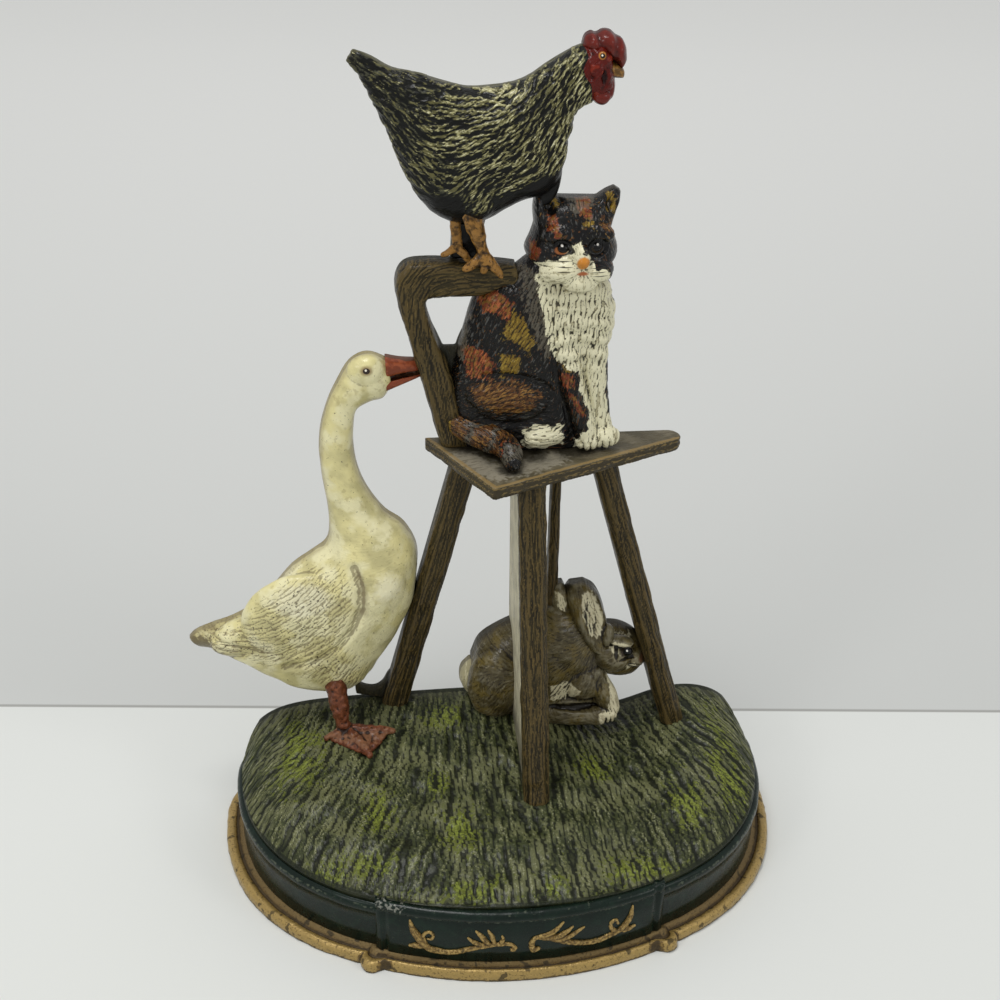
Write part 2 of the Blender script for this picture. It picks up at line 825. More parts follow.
HEN_FEATHERS = Finish("hen_feathers", tint(15, 16, 13), (
    Coat(tint(78, 78, 60), "stroke", 0.34, 0.8, 0.6, 0.5, 0.75, stretch=4.0),
    Coat(tint(104, 100, 62), "cream_stroke", 0.42, 0.62, 0.7, 0.5, 0.8, stretch=4.0),
    Coat(tint(168, 163, 118), "cream_stroke", 0.66, 0.88, 0.5, 0.6, 0.9, stretch=3.0),
    Coat(tint(222, 218, 180), "cream_stroke", 0.92, 1.12, 0.4, 0.6, 0.85, stretch=3.0),
    Coat(BLACK, "plain", 0.4, 0.6, 1.5, 0.1, 0.9),
    Coat(tint(84, 82, 60), "side", 0.4, 0.7, 1.6, 0.12, 0.85),
    Coat(tint(88, 20, 12), "face", 0.45, 0.55, 0.8, 0.05, 1.0, 0.22),
    Coat(tint(132, 44, 26), "face_crest", 0.45, 0.8, 0.8, 0.1, 0.7, 0.22),
    Coat(tint(32, 6, 5), "face_hollow", 0.45, 0.75, 0.8, 0.1, 0.95, 0.3),
    Dot(tint(172, 112, 50), (29.9, -10, 315), (1.35, 4, 1.25), 0.12, 0.25),
    Dot(tint(16, 8, 6), (29.9, -10, 315), (0.85, 4, 0.8), 0.15, 0.15),
    Dot(tint(240, 232, 215), (29.75, -10, 315.15), (0.3, 4, 0.3), 0.2, 0.2)), 0.34, glaze=0.22,
    pitting=0.05, strands=0.16, strand_size=0.7, haze=0.1)
COMB_RED = Finish("comb_red", tint(84, 20, 12), (
    Coat(tint(36, 8, 6), "fine", 0.54, 0.72, 0.9, 0.06, 0.85),
    Coat(tint(34, 8, 6), "broad", 0.58, 0.88, 1.4, 0.1, 0.85),
    Coat(tint(118, 36, 24), "fine", 0.48, 0.3, 0.9, 0.06, 0.55),
    Coat(tint(32, 10, 8), "under", 0.35, 0.9, 1.4, 0.1, 0.7),
    Coat(tint(50, 16, 12), "side", 0.4, 0.8, 1.6, 0.12, 0.7)), 0.28, glaze=0.3, pitting=0.04, haze=0.15)
HORN = Finish("horn_ochre", tint(94, 67, 29), (
    Coat(tint(162, 118, 58), "broad", 0.46, 0.26, 1.2, 0.25, 0.8),
    Coat(tint(134, 96, 44), "", 0.52, 0.62, 1.4, 0.2, 0.6),
    Coat(tint(46, 30, 14), "fine", 0.5, 0.68, 0.9, 0.12, 0.9),
    Coat(tint(34, 23, 12), "broad", 0.54, 0.8, 1.2, 0.14, 0.9),
    Coat(tint(30, 21, 12), "under", 0.35, 0.9, 1.2, 0.1, 0.7),
    Coat(tint(60, 38, 20), "", 0.58, 0.66, 0.9, 0.2, 0.8)), 0.36, glaze=0.2, pitting=0.08, haze=0.15)
CALICO = Finish("calico", tint(11, 11, 12), (
    Coat(tint(104, 104, 100), "stroke", 0.66, 1.0, 0.5, 0.6, 0.5, stretch=6.0),
    Coat(RUST, "rust", 0.46, 0.78, 1.1, 0.55, 0.92, stretch=2.0),
    Coat(tint(176, 100, 58), "rust_stroke", 0.55, 0.8, 0.5, 0.7, 0.8, stretch=5.0),
    Coat(tint(118, 88, 34), "rust", 0.95, 1.2, 1.4, 1.0, 0.7),
    Coat(OCHRE, "ochre", 0.46, 0.78, 1.1, 0.55, 0.92, stretch=2.0),
    Coat(tint(160, 134, 54), "ochre_stroke", 0.55, 0.8, 0.5, 0.7, 0.7, stretch=5.0),
    Coat(tint(92, 58, 28), "brown", 0.46, 0.72, 0.6, 1.0, 0.88, stretch=3.0),
    Coat(tint(146, 108, 52), "brown_stroke", 0.5, 0.8, 0.5, 0.8, 0.75, stretch=3.0),
    Coat(tint(112, 105, 90), "pale", 0.55, 0.95, 0.8, 0.7, 0.55, stretch=3.0),
    Coat(CREAM, "cream", 0.42, 0.58, 0.6, 0.25, stretch=4.0),
    Coat(tint(166, 158, 124), "cream_groove", 0.3, 0.62, 0.4, 0.5, 0.75, stretch=5.0),
    Coat(tint(78, 72, 50), "cream_groove", 0.74, 0.98, 0.3, 0.5, 0.65, stretch=5.0),
    Coat(tint(92, 86, 62), "under", 0.45, 1.0, 1.6, 0.1, 0.5),
    Coat(WASH, "fine", 0.62, 0.84, 0.7, 0.08, 0.8),
    Coat(BLACK, "broad", 0.68, 0.92, 1.4, 0.1, 0.8),
    Coat(tint(66, 62, 54), "side", 0.4, 0.75, 1.6, 0.14, 0.8)), 0.3, glaze=0.25, pitting=0.04, strands=0.16,
    strand_size=0.5, haze=0.12)
WHISKERS = tuple(Dot(tint(40, 35, 25), (x, -17, z), (2.6, 5, 0.16), 0.4)
    for x, z in ((18.6, 245.7), (19.2, 244), (18.8, 242.4), (31.4, 243.4), (31, 242), (31.8, 240.6)))
CAT_FACE = Finish("cat_face", CALICO.colour, CALICO.coats + (
    Dot(tint(176, 108, 62), (18, -16, 249), (2.6, 5, 1.6), 0.14, 0.3),
    Dot(PUPIL, (18.7, -16, 249.9), (2.3, 5, 1.75), 0.12, 0.15),
    Dot(PUPIL, (18.2, -16, 251.6), (3.6, 5, 1.5), 0.2, 0.25),
    Dot(tint(74, 60, 42), (31.4, -16, 249.2), (2.5, 5, 1.7), 0.2, 0.3),
    Dot(PUPIL, (31.3, -16, 249.9), (2.2, 5, 1.75), 0.12, 0.15),
    Dot(PUPIL, (31.4, -16, 251.6), (3.3, 5, 1.5), 0.2, 0.25),
    Dot(GLINT, (18.3, -16, 250.9), (0.5, 5, 0.4), 0.2, 0.2),
    Dot(GLINT, (31, -16, 250.9), (0.5, 5, 0.4), 0.2, 0.2),
    Dot(tint(200, 130, 48), (25.5, -18, 245.7), (2.3, 6, 2.6), 0.14, 0.25),
    Dot(tint(176, 104, 62), (25.6, -18, 241.4), (1.9, 6, 0.7), 0.35, 0.3)) + WHISKERS, CALICO.roughness,
    glaze=CALICO.glaze, pitting=CALICO.pitting, strands=0.08, strand_size=0.5, haze=0.15)
WOOD = Finish("wood_brown", tint(50, 43, 24), (
    Coat(tint(78, 67, 37), "", 0.5, 0.64, 0.8, 0.2, 0.65, stretch=22.0),
    Coat(tint(26, 22, 13), "", 0.5, 0.62, 0.5, 0.2, 0.75, stretch=26.0),
    Coat(tint(24, 20, 12), "streak", 0.55, 0.95, 0.6, 0.4, 0.6, stretch=20.0),
    Coat(tint(126, 104, 58), "", 0.6, 0.68, 0.4, 0.2, 0.55, stretch=6.0),
    Coat(tint(108, 90, 52), "fine", 0.42, 0.24, 0.8, 0.14, 0.5),
    Coat(WASH, "broad", 0.58, 0.86, 1.6, 0.12, 0.9),
    Coat(WASH, "under", 0.35, 0.9, 1.6, 0.1, 0.6),
    Coat(tint(50, 50, 40), "side", 0.35, 0.7, 1.8, 0.14, 0.8)), 0.4, glaze=0.12, pitting=0.07, strands=0.14,
    strand_size=0.6, haze=0.14)
SEAT_TOP = Finish("seat_top", tint(88, 81, 62), (
    Coat(tint(118, 110, 90), "", 0.48, 0.62, 8.0, 0.2, 0.7),
    Coat(tint(152, 146, 130), "dust", 0.5, 0.8, 1.5, 0.4, 0.6),
    Coat(tint(70, 62, 43), "", 0.54, 0.66, 1.2, 0.2, 0.55, stretch=10.0),
    Coat(tint(54, 46, 28), "edge", 0.42, 0.62, 1.2, 0.14, 0.9),
    Coat(tint(126, 106, 62), "edge_grain", 0.55, 0.68, 0.6, 0.5, 0.8, stretch=14.0),
    Coat(tint(144, 120, 74), "ridge", 0.45, 0.65, 1.4, 0.18, 0.7),
    Coat(WASH, "foot", 0.35, 0.85, 2.0, 0.12, 0.85)), 0.46, pitting=0.08, strands=0.06, haze=0.25)
WEB_CREAM = Finish("web_cream", tint(214, 208, 180), (
    Coat(tint(168, 160, 132), "", 0.5, 0.62, 0.8, 0.2, 0.6, stretch=26.0),
    Coat(tint(70, 63, 46), "", 0.6, 0.68, 0.5, 0.2, 0.8, stretch=30.0),
    Coat(tint(112, 108, 92), "low", 0.35, 1.0, 4.0, 0.2, 0.8),
    Coat(WASH, "broad", 0.62, 0.95, 1.6, 0.12, 0.8)), 0.5, pitting=0.06, strands=0.12, haze=0.3)
IVORY = Finish("goose_ivory", tint(212, 203, 146), (
    Coat(tint(234, 228, 184), "", 0.46, 0.6, 11.0, 0.2, 0.8),
    Coat(tint(240, 236, 208), "pale", 0.3, 1.0, 2.0, 0.2, 0.6),
    Coat(tint(156, 142, 94), "turn", 0.35, 0.95, 3.0, 0.15, 0.5),
    Coat(tint(160, 146, 98), "", 0.58, 0.7, 2.2, 0.2, 0.35),
    Coat(tint(156, 142, 100), "quill", 0.5, 0.74, 0.6, 0.6, 0.7, stretch=5.0),
    Coat(tint(92, 78, 50), "quill", 0.72, 0.92, 0.5, 0.6, 0.8, stretch=4.0),
    Coat(tint(104, 90, 58), "fine", 0.56, 0.74, 0.7, 0.07, 0.6),
    Coat(tint(56, 44, 28), "wing", 1.3, 1.42, 0.9, 0.7, 0.9),
    Coat(tint(108, 92, 60), "crease", 0.4, 1.25, 2.2, 0.16, 0.8),
    Coat(tint(86, 72, 46), "brown", 0.34, 0.72, 1.2, 0.4, 0.85, stretch=3.0),
    Coat(tint(134, 120, 82), "under", 0.4, 1.0, 2.0, 0.12, 0.6),
    Coat(tint(128, 116, 82), "side", 0.3, 0.85, 1.8, 0.14, 0.7),
    Coat(tint(48, 39, 26), "", 0.685, 0.715, 0.9, 0.2, 0.8),
    Dot(tint(150, 132, 92), (-50.7, -9, 202.7), (2.2, 5, 1.7), 0.4),
    Dot(tint(34, 18, 10), (-50.7, -9, 202.7), (1.3, 5, 1.05), 0.12, 0.15),
    Dot(tint(240, 234, 214), (-50.9, -9, 203), (0.4, 5, 0.4), 0.2, 0.2)), 0.36, glaze=0.3, pitting=0.09,
    strands=0.05, strand_size=0.8, haze=0.35)
BILL = Finish("goose_bill", tint(126, 60, 34), (
    Coat(tint(156, 82, 48), "", 0.5, 0.6, 2.0, 0.2, 0.6),
    Coat(tint(36, 16, 10), "slit", 0.45, 0.7, 0.8, 0.1, 0.95),
    Coat(tint(62, 30, 18), "under", 0.35, 0.9, 1.4, 0.1, 0.7),
    Coat(tint(84, 56, 38), "side", 0.4, 0.8, 1.4, 0.14, 0.8)), 0.36, glaze=0.2, pitting=0.06, haze=0.2)
BRICK = Finish("goose_leg_brick", tint(96, 52, 30), (
    Coat(tint(134, 78, 50), "", 0.52, 0.62, 1.4, 0.2, 0.6),
    Coat(tint(136, 100, 72), "crest", 0.5, 0.9, 1.4, 0.5, 0.5),
    Coat(tint(46, 23, 14), "fine", 0.58, 0.82, 0.9, 0.1, 0.8),
    Coat(tint(36, 21, 14), "broad", 0.56, 0.86, 1.4, 0.12, 0.85),
    Coat(tint(48, 25, 15), "", 0.62, 0.72, 0.9, 0.2, 0.6)), 0.4, glaze=0.15, pitting=0.12, haze=0.2)
RABBIT_FUR = Finish("rabbit_fur", tint(84, 75, 48), (
    Coat(tint(108, 93, 46), "", 0.48, 0.62, 8.0, 0.2, 0.8),
    Coat(tint(44, 38, 24), "", 0.54, 0.68, 5.0, 0.2, 0.55),
    Coat(tint(138, 132, 108), "broad", 0.46, 0.1, 2.0, 0.12, 0.6),
    Coat(tint(148, 140, 112), "", 0.59, 0.7, 0.5, 0.2, 0.5, stretch=4.0),
    Coat(tint(46, 39, 24), "", 0.55, 0.7, 0.6, 0.2, 0.5, stretch=5.0),
    Coat(tint(40, 35, 22), "turn", 0.35, 1.0, 2.4, 0.15, 0.7),
    Coat(tint(216, 208, 174), "cream", 0.34, 0.72, 0.9, 0.3, 0.95, stretch=2.0),
    Coat(tint(142, 128, 96), "cream_worn", 0.55, 1.05, 0.6, 0.6, 0.5, stretch=2.0),
    Coat(tint(40, 33, 21), "fine", 0.54, 0.74, 0.8, 0.08, 0.85),
    Coat(tint(24, 20, 13), "broad", 0.58, 0.86, 1.6, 0.12, 0.9),
    Coat(tint(24, 21, 14), "under", 0.3, 0.9, 1.6, 0.12, 0.8),
    Coat(tint(58, 55, 42), "side", 0.35, 0.7, 1.8, 0.14, 0.8)), 0.34, glaze=0.3, pitting=0.06, strands=0.06,
    strand_size=0.6, haze=0.15)
RABBIT_FACE = Finish("rabbit_face", RABBIT_FUR.colour, RABBIT_FUR.coats + (
    Dot(tint(44, 32, 20), (52, -20, 77.6), (3.3, 6, 2.5), 0.2, 0.3),
    Dot(PUPIL, (52.1, -20, 77.6), (2.5, 6, 2.1), 0.1, 0.15),
    Dot(GLINT, (51.6, -20, 78.1), (0.45, 6, 0.4), 0.2, 0.2),
    Dot(tint(96, 70, 48), (58.2, -16, 72.8), (1.3, 8, 1.4), 0.4)), RABBIT_FUR.roughness, glaze=0.2,
    pitting=0.05, strands=0.04, strand_size=0.6, haze=0.2)
RABBIT_TAIL = Finish("rabbit_tail", tint(176, 168, 132), (
    Coat(tint(216, 209, 174), "stroke", 0.4, 0.8, 0.8, 0.3, 0.8, stretch=3.0),
    Coat(tint(78, 68, 44), "fine", 0.52, 0.68, 0.8, 0.12, 0.9),
    Coat(tint(70, 62, 42), "under", 0.35, 0.9, 1.2, 0.12, 0.8),
    Coat(tint(110, 104, 84), "side", 0.4, 0.8, 1.6, 0.14, 0.8)), 0.5, pitting=0.1, haze=0.3)
GRASS = Finish("grass", tint(56, 61, 36), (
    Coat(tint(100, 102, 70), "", 0.46, 0.6, 13.0, 0.2, 0.85),
    Coat(tint(32, 37, 21), "", 0.53, 0.66, 7.0, 0.2, 0.5),
    Coat(tint(108, 110, 72), "blade", 0.5, 0.95, 0.9, 0.5, 0.65, stretch=6.0),
    Coat(tint(152, 152, 122), "blade", 0.86, 1.08, 0.5, 0.6, 0.6, stretch=6.0),
    Coat(tint(92, 99, 34), "fresh", 0.44, 0.7, 1.2, 0.6, 0.85, stretch=3.0),
    Coat(tint(126, 136, 56), "fresh", 0.78, 1.02, 0.8, 0.7, 0.8, stretch=3.0),
    Coat(tint(22, 26, 15), "gap", 0.55, 1.0, 0.9, 0.5, 0.6, stretch=6.0),
    Coat(tint(18, 21, 12), "fine", 0.58, 0.8, 0.8, 0.08, 0.8),
    Coat(tint(84, 84, 66), "crest", 0.45, 1.0, 2.4, 0.3, 0.4),
    Coat(tint(20, 26, 15), "rim", 0.4, 0.7, 1.4, 0.15, 0.8)), 0.42, glaze=0.12, pitting=0.08, pit_size=1.4,
    strands=0.1, strand_size=1.0, haze=0.14)
PLINTH_GREEN = Finish("plinth_green", tint(11, 27, 20), (
    Coat(tint(19, 38, 28), "", 0.52, 0.64, 5.0, 0.2, 0.6),
    Coat(tint(92, 98, 82), "edge", 0.62, 0.95, 1.6, 0.5, 0.6),
    Coat(tint(60, 68, 54), "", 0.7, 0.74, 1.0, 0.2, 0.6),
    Coat(tint(170, 170, 158), "chip", 1.05, 1.3, 1.2, 0.9, 0.45)), 0.3, glaze=0.15, pitting=0.05, haze=0.16)
GOLD = Finish("gold_paint", tint(108, 85, 41), (
    Coat(tint(146, 118, 62), "", 0.48, 0.62, 1.0, 0.2, 0.75),
    Coat(tint(192, 163, 98), "fine", 0.42, 0.24, 0.8, 0.12, 0.6),
    Coat(tint(94, 77, 47), "ledge", 0.45, 0.7, 2.0, 0.3, 0.75, 0.6),
    Coat(tint(54, 43, 24), "fine", 0.56, 0.78, 0.9, 0.12, 0.8, 0.6),
    Coat(tint(72, 58, 32), "", 0.56, 0.66, 0.8, 0.2, 0.6, 0.6),
    Coat(tint(40, 34, 20), "", 0.6, 0.66, 4.0, 0.2, 0.75, 0.6),
    Coat(tint(60, 48, 28), "low", 0.52, 0.85, 1.2, 0.3, 0.8, 0.6)), 0.34, metallic=0.4, pitting=0.12)


@dataclass
class Base:
    """Oval stepped base: gold flange, green wall, bowed panel with scrolls, grass mound."""

    width: float = 228.0
    depth: float = 114.2
    oval_step: float = 0.7
    oval_power: float = 2.3
    corner_radius: float = 31.0
    bow_step: float = 3.4
    plinth_inset: float = 7.0
    rim_height: float = 26.8
    panel_half: float = 54.5
    panel_step: float = 0.6
    panel_end_step: float = 2.0
    panel_profile: Rows = ((0, 6.2), (0, 12), (0, 18), (0, 24.6), (0.45, 25.2), (0.45, 25.8), (-0.25, 26.5),
        (-0.2, 27.8), (0.5, 28.8), (1.6, 29.4), (3.2, 29.5))
    knob_radius: float = 4.6
    ground_inset: float = 7.8
    crest: float = 51.0

    @property
    def setback(self) -> float:
        """How far forward of the back plane the base is widest."""
        return 0.55 * self.corner_radius

    def oval(self, x: np.ndarray | float, inset: float) -> np.ndarray:
        """Follow the oval's front edge.

        Args:
            x: Places across.
            inset: How far inside the outline.
        Returns:
            The edge's y at each place.
        """
        half = self.width / 2 - inset
        reach = self.depth - self.setback - self.bow_step - inset * self.oval_step
        share = np.clip(1 - (np.abs(x) / half) ** self.oval_power, 0, 1)
        return -self.setback - reach * share ** (1 / self.oval_power)

    def bow(self, x: np.ndarray | float, inset: float) -> np.ndarray:
        """Follow the bowed middle of the front.

        Args:
            x: Places across.
            inset: How far inside the outline.
        Returns:
            The bow's y at each place.
        """
        end = -self.oval(self.panel_half, self.plinth_inset) + self.panel_end_step
        drop = self.depth - self.plinth_inset * self.panel_step - end
        radius = (self.panel_half ** 2 + drop ** 2) / (2 * drop)
        return -(self.depth - inset * self.panel_step) + radius - np.sqrt(radius ** 2 - np.square(x))

    def outline(self, inset: float, knobbed: bool) -> np.ndarray:
        """Draw the base's outline.

        Args:
            inset: How far inside it.
            knobbed: Whether it has the knobs and the bow between them.
        Returns:
            Points (x, y) from rear left to rear right.
        """
        middle = self.width / 2 - self.corner_radius
        radius = self.corner_radius - inset
        angles = np.linspace(math.asin(self.setback / radius), 0, 14)
        corner = np.column_stack((middle + radius * np.cos(angles), radius * np.sin(angles) - self.setback))
        half = self.width / 2 - inset
        end = 0.0
        tail = np.empty((0, 2))
        if knobbed:
            knob_x = self.panel_half + 1.5 - 0.35 * inset
            knob_y = self.oval(self.panel_half + 1.5, 0.0) + 1.2 + self.panel_step * inset
            knob = self.knob_radius * (1 - inset / (2 * self.plinth_inset))
            end = knob_x + knob * 1.35
            turns = np.radians(np.linspace(10, -90, 12))
            bows = np.linspace(knob_x - knob * 0.9, 0, 30)
            tail = np.vstack((np.column_stack((knob_x + knob * np.cos(turns),
                knob_y + knob * np.sin(turns))), np.column_stack((bows, self.bow(bows, inset)))))
        angles = np.linspace(0, math.acos(end / half), 70 if not knobbed else 48)[1:]
        oval = np.column_stack((half * np.cos(angles), self.oval(half * np.cos(angles), inset)))
        right = np.vstack((corner, oval, tail))
        left = right * (-1, 1)
        return np.vstack((left, right[::-1][1:]))

    def sweep(self, section: Rows, knobbed: bool) -> Skin:
        """Sweep a section along the outline.

        Args:
            section: Points (inset, z).
            knobbed: Whether the outline has its knobs.
        Returns:
            The swept surface.
        """
        rings = np.array([np.column_stack((self.outline(inset, knobbed),
            np.full(1, z).repeat(len(self.outline(inset, knobbed))))) for inset, z in section])
        clay = Clay()
        clay.loft(rings.transpose(1, 0, 2))
        return clay.as_built()

    def flange(self) -> None:
        """Build the flange: a bright roll around a dull ledge."""
        roll = [(2.3 - 2.3 * math.cos(angle), 2.4 + 2.3 * math.sin(angle))
            for angle in np.radians(np.linspace(0, 150, 11))]
        section = ((0.3, 0), (0, 0.6), (0, 1.5), *roll, (4.9, 4), (5.6, 4.7), (6.4, 5.5), (7.2, 5.9),
            (11.5, 6), (11.5, 0))
        skin = self.sweep(section, True)
        skin.read_relief()
        inward = np.tile([inset for inset, _ in section], len(skin.spots) // len(section) + 1)
        height = skin.spots[:, 2]
        skin.masks["ledge"] = ramp(height + 2.0 * (inward[:len(height)] > 4.4), 5.2, 6.2)
        skin.masks["low"] = ramp(-height, -2.6, 0.0)
        skin.push(uneven(skin.spots, 2.4, 3, 0.5))
        skin.spots[:, 2] = np.maximum(skin.spots[:, 2], 0.0)
        skin.spots[:, 1] = np.minimum(skin.spots[:, 1], 0.0)
        skin.place("foot_flange", "gold_trim", GOLD)

    def wall(self) -> None:
        """Build the plinth's wall with its bead."""
        face, bead = self.plinth_inset, self.plinth_inset - 1.2
        section = ((face, 6.1), (face, 12.0), (face, 18.0), (face, 21.8), (bead + 0.5, 22.5), (bead, 23.2),
            (bead, 25.0), (bead + 0.3, 25.6), (bead + 0.9, 26.3), (face + 0.4, 26.8), (11.5, 26.8),
            (11.5, 6.1))
        skin = self.sweep(section, False)
        skin.push(uneven(skin.spots, 4.0, 5, 0.35))
        skin.read_relief()
        height = skin.spots[:, 2]
        skin.masks["edge"] = 0.75 * near(height, 25.4, 0.9, 0.2) + 0.4 * ramp(-height, -9.0, -6.4)
        skin.spots[:, 1] = np.minimum(skin.spots[:, 1], 0.0)
        skin.place("plinth_wall", "plinth_green", PLINTH_GREEN)

    def panel(self) -> None:
        """Build the bowed panel that stands proud of the wall."""
        rings = []
        for x in np.linspace(-self.panel_half, self.panel_half, 170):
            front, back = self.bow(x, self.plinth_inset), self.oval(x, self.plinth_inset - 1.2) + 0.2
            taper = 0.7 * ramp(np.array(abs(x)), self.panel_half - 1.6, self.panel_half)
            notch = 0.9 * ramp(-np.abs(np.array(abs(x)) - self.panel_half + 3.4), -1.2, -0.4)
            front = front + taper + notch
            rings.append([(x, back, 6.2), *((x, front + out, z) for out, z in self.panel_profile),
                (x, back, 29.2)])
        clay = Clay()
        clay.loft(np.array(rings, dtype=float))
        skin = clay.as_built()
        skin.push(uneven(skin.spots, 4.0, 6, 0.3))
        skin.read_relief()
        corner = np.linalg.norm(skin.front() - (-49, 28.5), axis=1)
        skin.masks["chip"] = ramp(-corner, -11.0, -2.0) * ramp(skin.spots[:, 2], 24.0, 28.0)
        height = skin.spots[:, 2]
        skin.masks["edge"] = 0.9 * near(height, 25.6, 0.6, 0.1) + 0.5 * near(height, 29.0, 0.9, 0.2)
        skin.place("front_panel", "plinth_green", PLINTH_GREEN)

    def scroll(self, node: str, blades: tuple[Rows, ...]) -> None:
        """Build one gold scroll on the panel.

        Args:
            node: CAD node that it stands for.
            blades: Blades of points (x, z, width).
        """
        clay = Clay()
        for blade in blades:
            clay.limb(tuple((x, float(self.bow(x, self.plinth_inset)) - 0.15, z, width / 2)
                for x, z, width in blade), steps=4, sides=12)
        skin = clay.fuse(0.24, 0, flat_back=False)
        skin.push(uneven(skin.spots, 1.2, 8, 0.25))
        skin.read_relief()
        skin.place(node, "gold_trim", GOLD)

    def scrolls(self) -> None:
        """Build both scrolls, which differ as hand-cut ones do."""
        self.scroll("scroll_left", (((-36.2, 12.4, 2.2), (-38.9, 16.4, 3.2), (-41, 20, 2.6),
            (-42, 24.2, 0.9)), ((-36, 12.6, 2), (-39.4, 12.2, 2.6), (-42.2, 11.6, 1.2)),
            ((-36.2, 13, 1.6), (-37.2, 17.2, 1.4), (-35.5, 19.6, 1.3), (-33.6, 18.6, 1.3),
            (-34.2, 16.4, 1.2), (-35.6, 16.2, 0.9)), ((-38, 14.4, 1.6), (-35.1, 11.5, 2.6),
            (-30, 10.6, 2.2), (-24.9, 11, 2), (-19.8, 13, 2), (-14.7, 14.5, 2), (-9.5, 15.4, 1.8),
            (-5.2, 15.2, 1.5), (-3.4, 13, 1.8), (-4.6, 12.4, 1.8)),
            ((-14.6, 14.8, 1.6), (-18.2, 16, 1.8), (-20.9, 18.2, 0.8)),
            ((-13, 15.2, 1.6), (-15.6, 18.8, 2.2), (-18, 21.8, 0.8)),
            ((-11.2, 15.6, 1.6), (-12.2, 19.4, 2), (-13.6, 22.4, 0.8)),
            ((-9, 15.6, 1.6), (-8, 17.8, 1.6), (-8.4, 19.4, 0.8))))
        self.scroll("scroll_right", (((5.2, 12.2, 1.6), (3.4, 11.8, 2.6), (2.6, 14.6, 2.2),
            (3.6, 17.2, 1.8), (6.6, 18.3, 1.8), (9.6, 19.2, 2), (12.2, 21.2, 1.6), (14.3, 24, 0.8)),
            ((6.4, 17.6, 1.8), (11.4, 17, 2.4), (15.2, 18.6, 2), (18, 21, 0.8)),
            ((8, 17.2, 1.6), (13.2, 15.8, 2.4), (18, 17, 2), (22.4, 19.8, 0.8)),
            ((5, 17.6, 1.6), (10, 16.4, 2), (15.9, 13.8, 2.2), (22.2, 11.8, 2.2), (27.7, 11.4, 2.2),
            (33.2, 12.8, 2.2), (37, 14.4, 2.4), (39.6, 17.4, 2.4), (40.8, 20.6, 2), (41.2, 24.6, 0.8)),
            ((36.4, 13.8, 1.8), (39.6, 13.4, 2.2), (42.6, 14, 1.2)),
            ((35.6, 13.4, 1.8), (33.2, 16, 1.6), (33, 19, 1.4), (34.8, 19.8, 1.3), (35.8, 17.8, 1.2))))

    def crest_height(self, x: np.ndarray) -> np.ndarray:
        """Return the mound's height at the back plane."""
        return self.crest - 11.0 * np.exp(-((x - 46.0) / 22.0) ** 2) - 0.00035 * x * x

    def ground_height(self, x: np.ndarray | float, y: np.ndarray | float) -> np.ndarray:
        """Follow the mound's surface.

        Args:
            x: Places across.
            y: Places deep.
        Returns:
            Its height at each place.
        """
        low = self.rim_height + 0.3 + 2.0
        half = self.width / 2 - self.ground_inset
        depth = self.depth - self.setback - self.bow_step - self.ground_inset * self.oval_step
        forward = np.maximum(-self.setback - y, 0.0)
        reach = (np.abs(x) / half) ** self.oval_power + (forward / depth) ** self.oval_power
        edge = np.minimum(reach ** (1 / self.oval_power), 1.0)
        fall = 1 - 0.88 * np.minimum(-y / (depth + self.setback), 1.0)
        return low + (self.crest_height(x) - low) * fall * (1 - edge ** 12)

    def ground_at(self, x: float, y: float) -> float:
        """Return the height of the mound at one place."""
        return float(self.ground_height(x, y))

    def mound(self) -> None:
        """Build the mound of cast grass: blades that run down to the rim."""
        half = self.width / 2 - self.ground_inset
        middle, radius = self.width / 2 - self.corner_radius, self.corner_radius - self.ground_inset
        rings = []
        for x in half * np.sin(np.linspace(-1, 1, 385) * math.pi / 2 * 0.995):
            inner = max(abs(x) - middle, 0.0)
            rear = min(math.sqrt(max(radius ** 2 - inner ** 2, 0.0)) - self.setback, 0.0)
            front = float(self.oval(x, self.ground_inset))
            y = np.concatenate((np.linspace(rear, front, 180), np.linspace(front, rear, 8)))
            z = self.ground_height(x, y)
            z[180:] = np.maximum(z[180:] - 4.0, self.rim_height + 0.3)
            rings.append(np.column_stack((np.full(len(y), x), y, z)))
        clay = Clay()
        clay.loft(np.array(rings))
        skin = clay.as_built()
        top = skin.spots[:, 2] > self.ground_height(skin.spots[:, 0], skin.spots[:, 1]) - 0.5
        plan = skin.spots[:, :2]
        brush = Brush(((-95, -30, -0.9, -0.7), (-60, -60, -0.5, -1), (-40, -95, -0.35, -1), (0, -60, 0, -1),
            (0, -100, 0.05, -1), (45, -90, 0.12, -1), (60, -50, 0.3, -1), (95, -30, 0.8, -0.7),
            (-60, -15, -0.3, -1), (0, -15, 0, -1), (60, -12, 0.3, -1)), 14.0, 1.5, 1.9, 0.25, 11)
        ridge, tone = skin.groom(brush, plan)
        inland = ramp(-plan[:, 1], 0.5, 4.0) * ramp(plan[:, 1] - self.oval(plan[:, 0], self.ground_inset),
            0.3, 2.5)
        skin.spots[:, 2] += top * inland * (0.65 * ridge + uneven(plan, 9.0, 2, 2.2)
            + uneven(plan, 2.2, 4, 0.25) - 0.4)
        skin.read_relief()
        skin.masks["blade"] = ridge * (0.35 + 0.65 * tone) * top
        skin.masks["gap"] = ramp(-ridge, -0.42, 0.0) * top
        lush = np.zeros(len(plan))
        for x, y, across, deep in ((-82, -29, 13, 22), (-23, -16, 10, 8), (-28, -49, 5, 8),
                (-21, -72, 10, 12), (-52, -60, 8, 13), (36, -40, 9, 8), (90, -42, 9, 30), (70, -62, 9, 18),
                (-8, -98, 40, 6), (-62, -84, 22, 7), (44, -92, 22, 7)):
            away = ((plan[:, 0] - x) / across) ** 2 + ((plan[:, 1] - y) / deep) ** 2
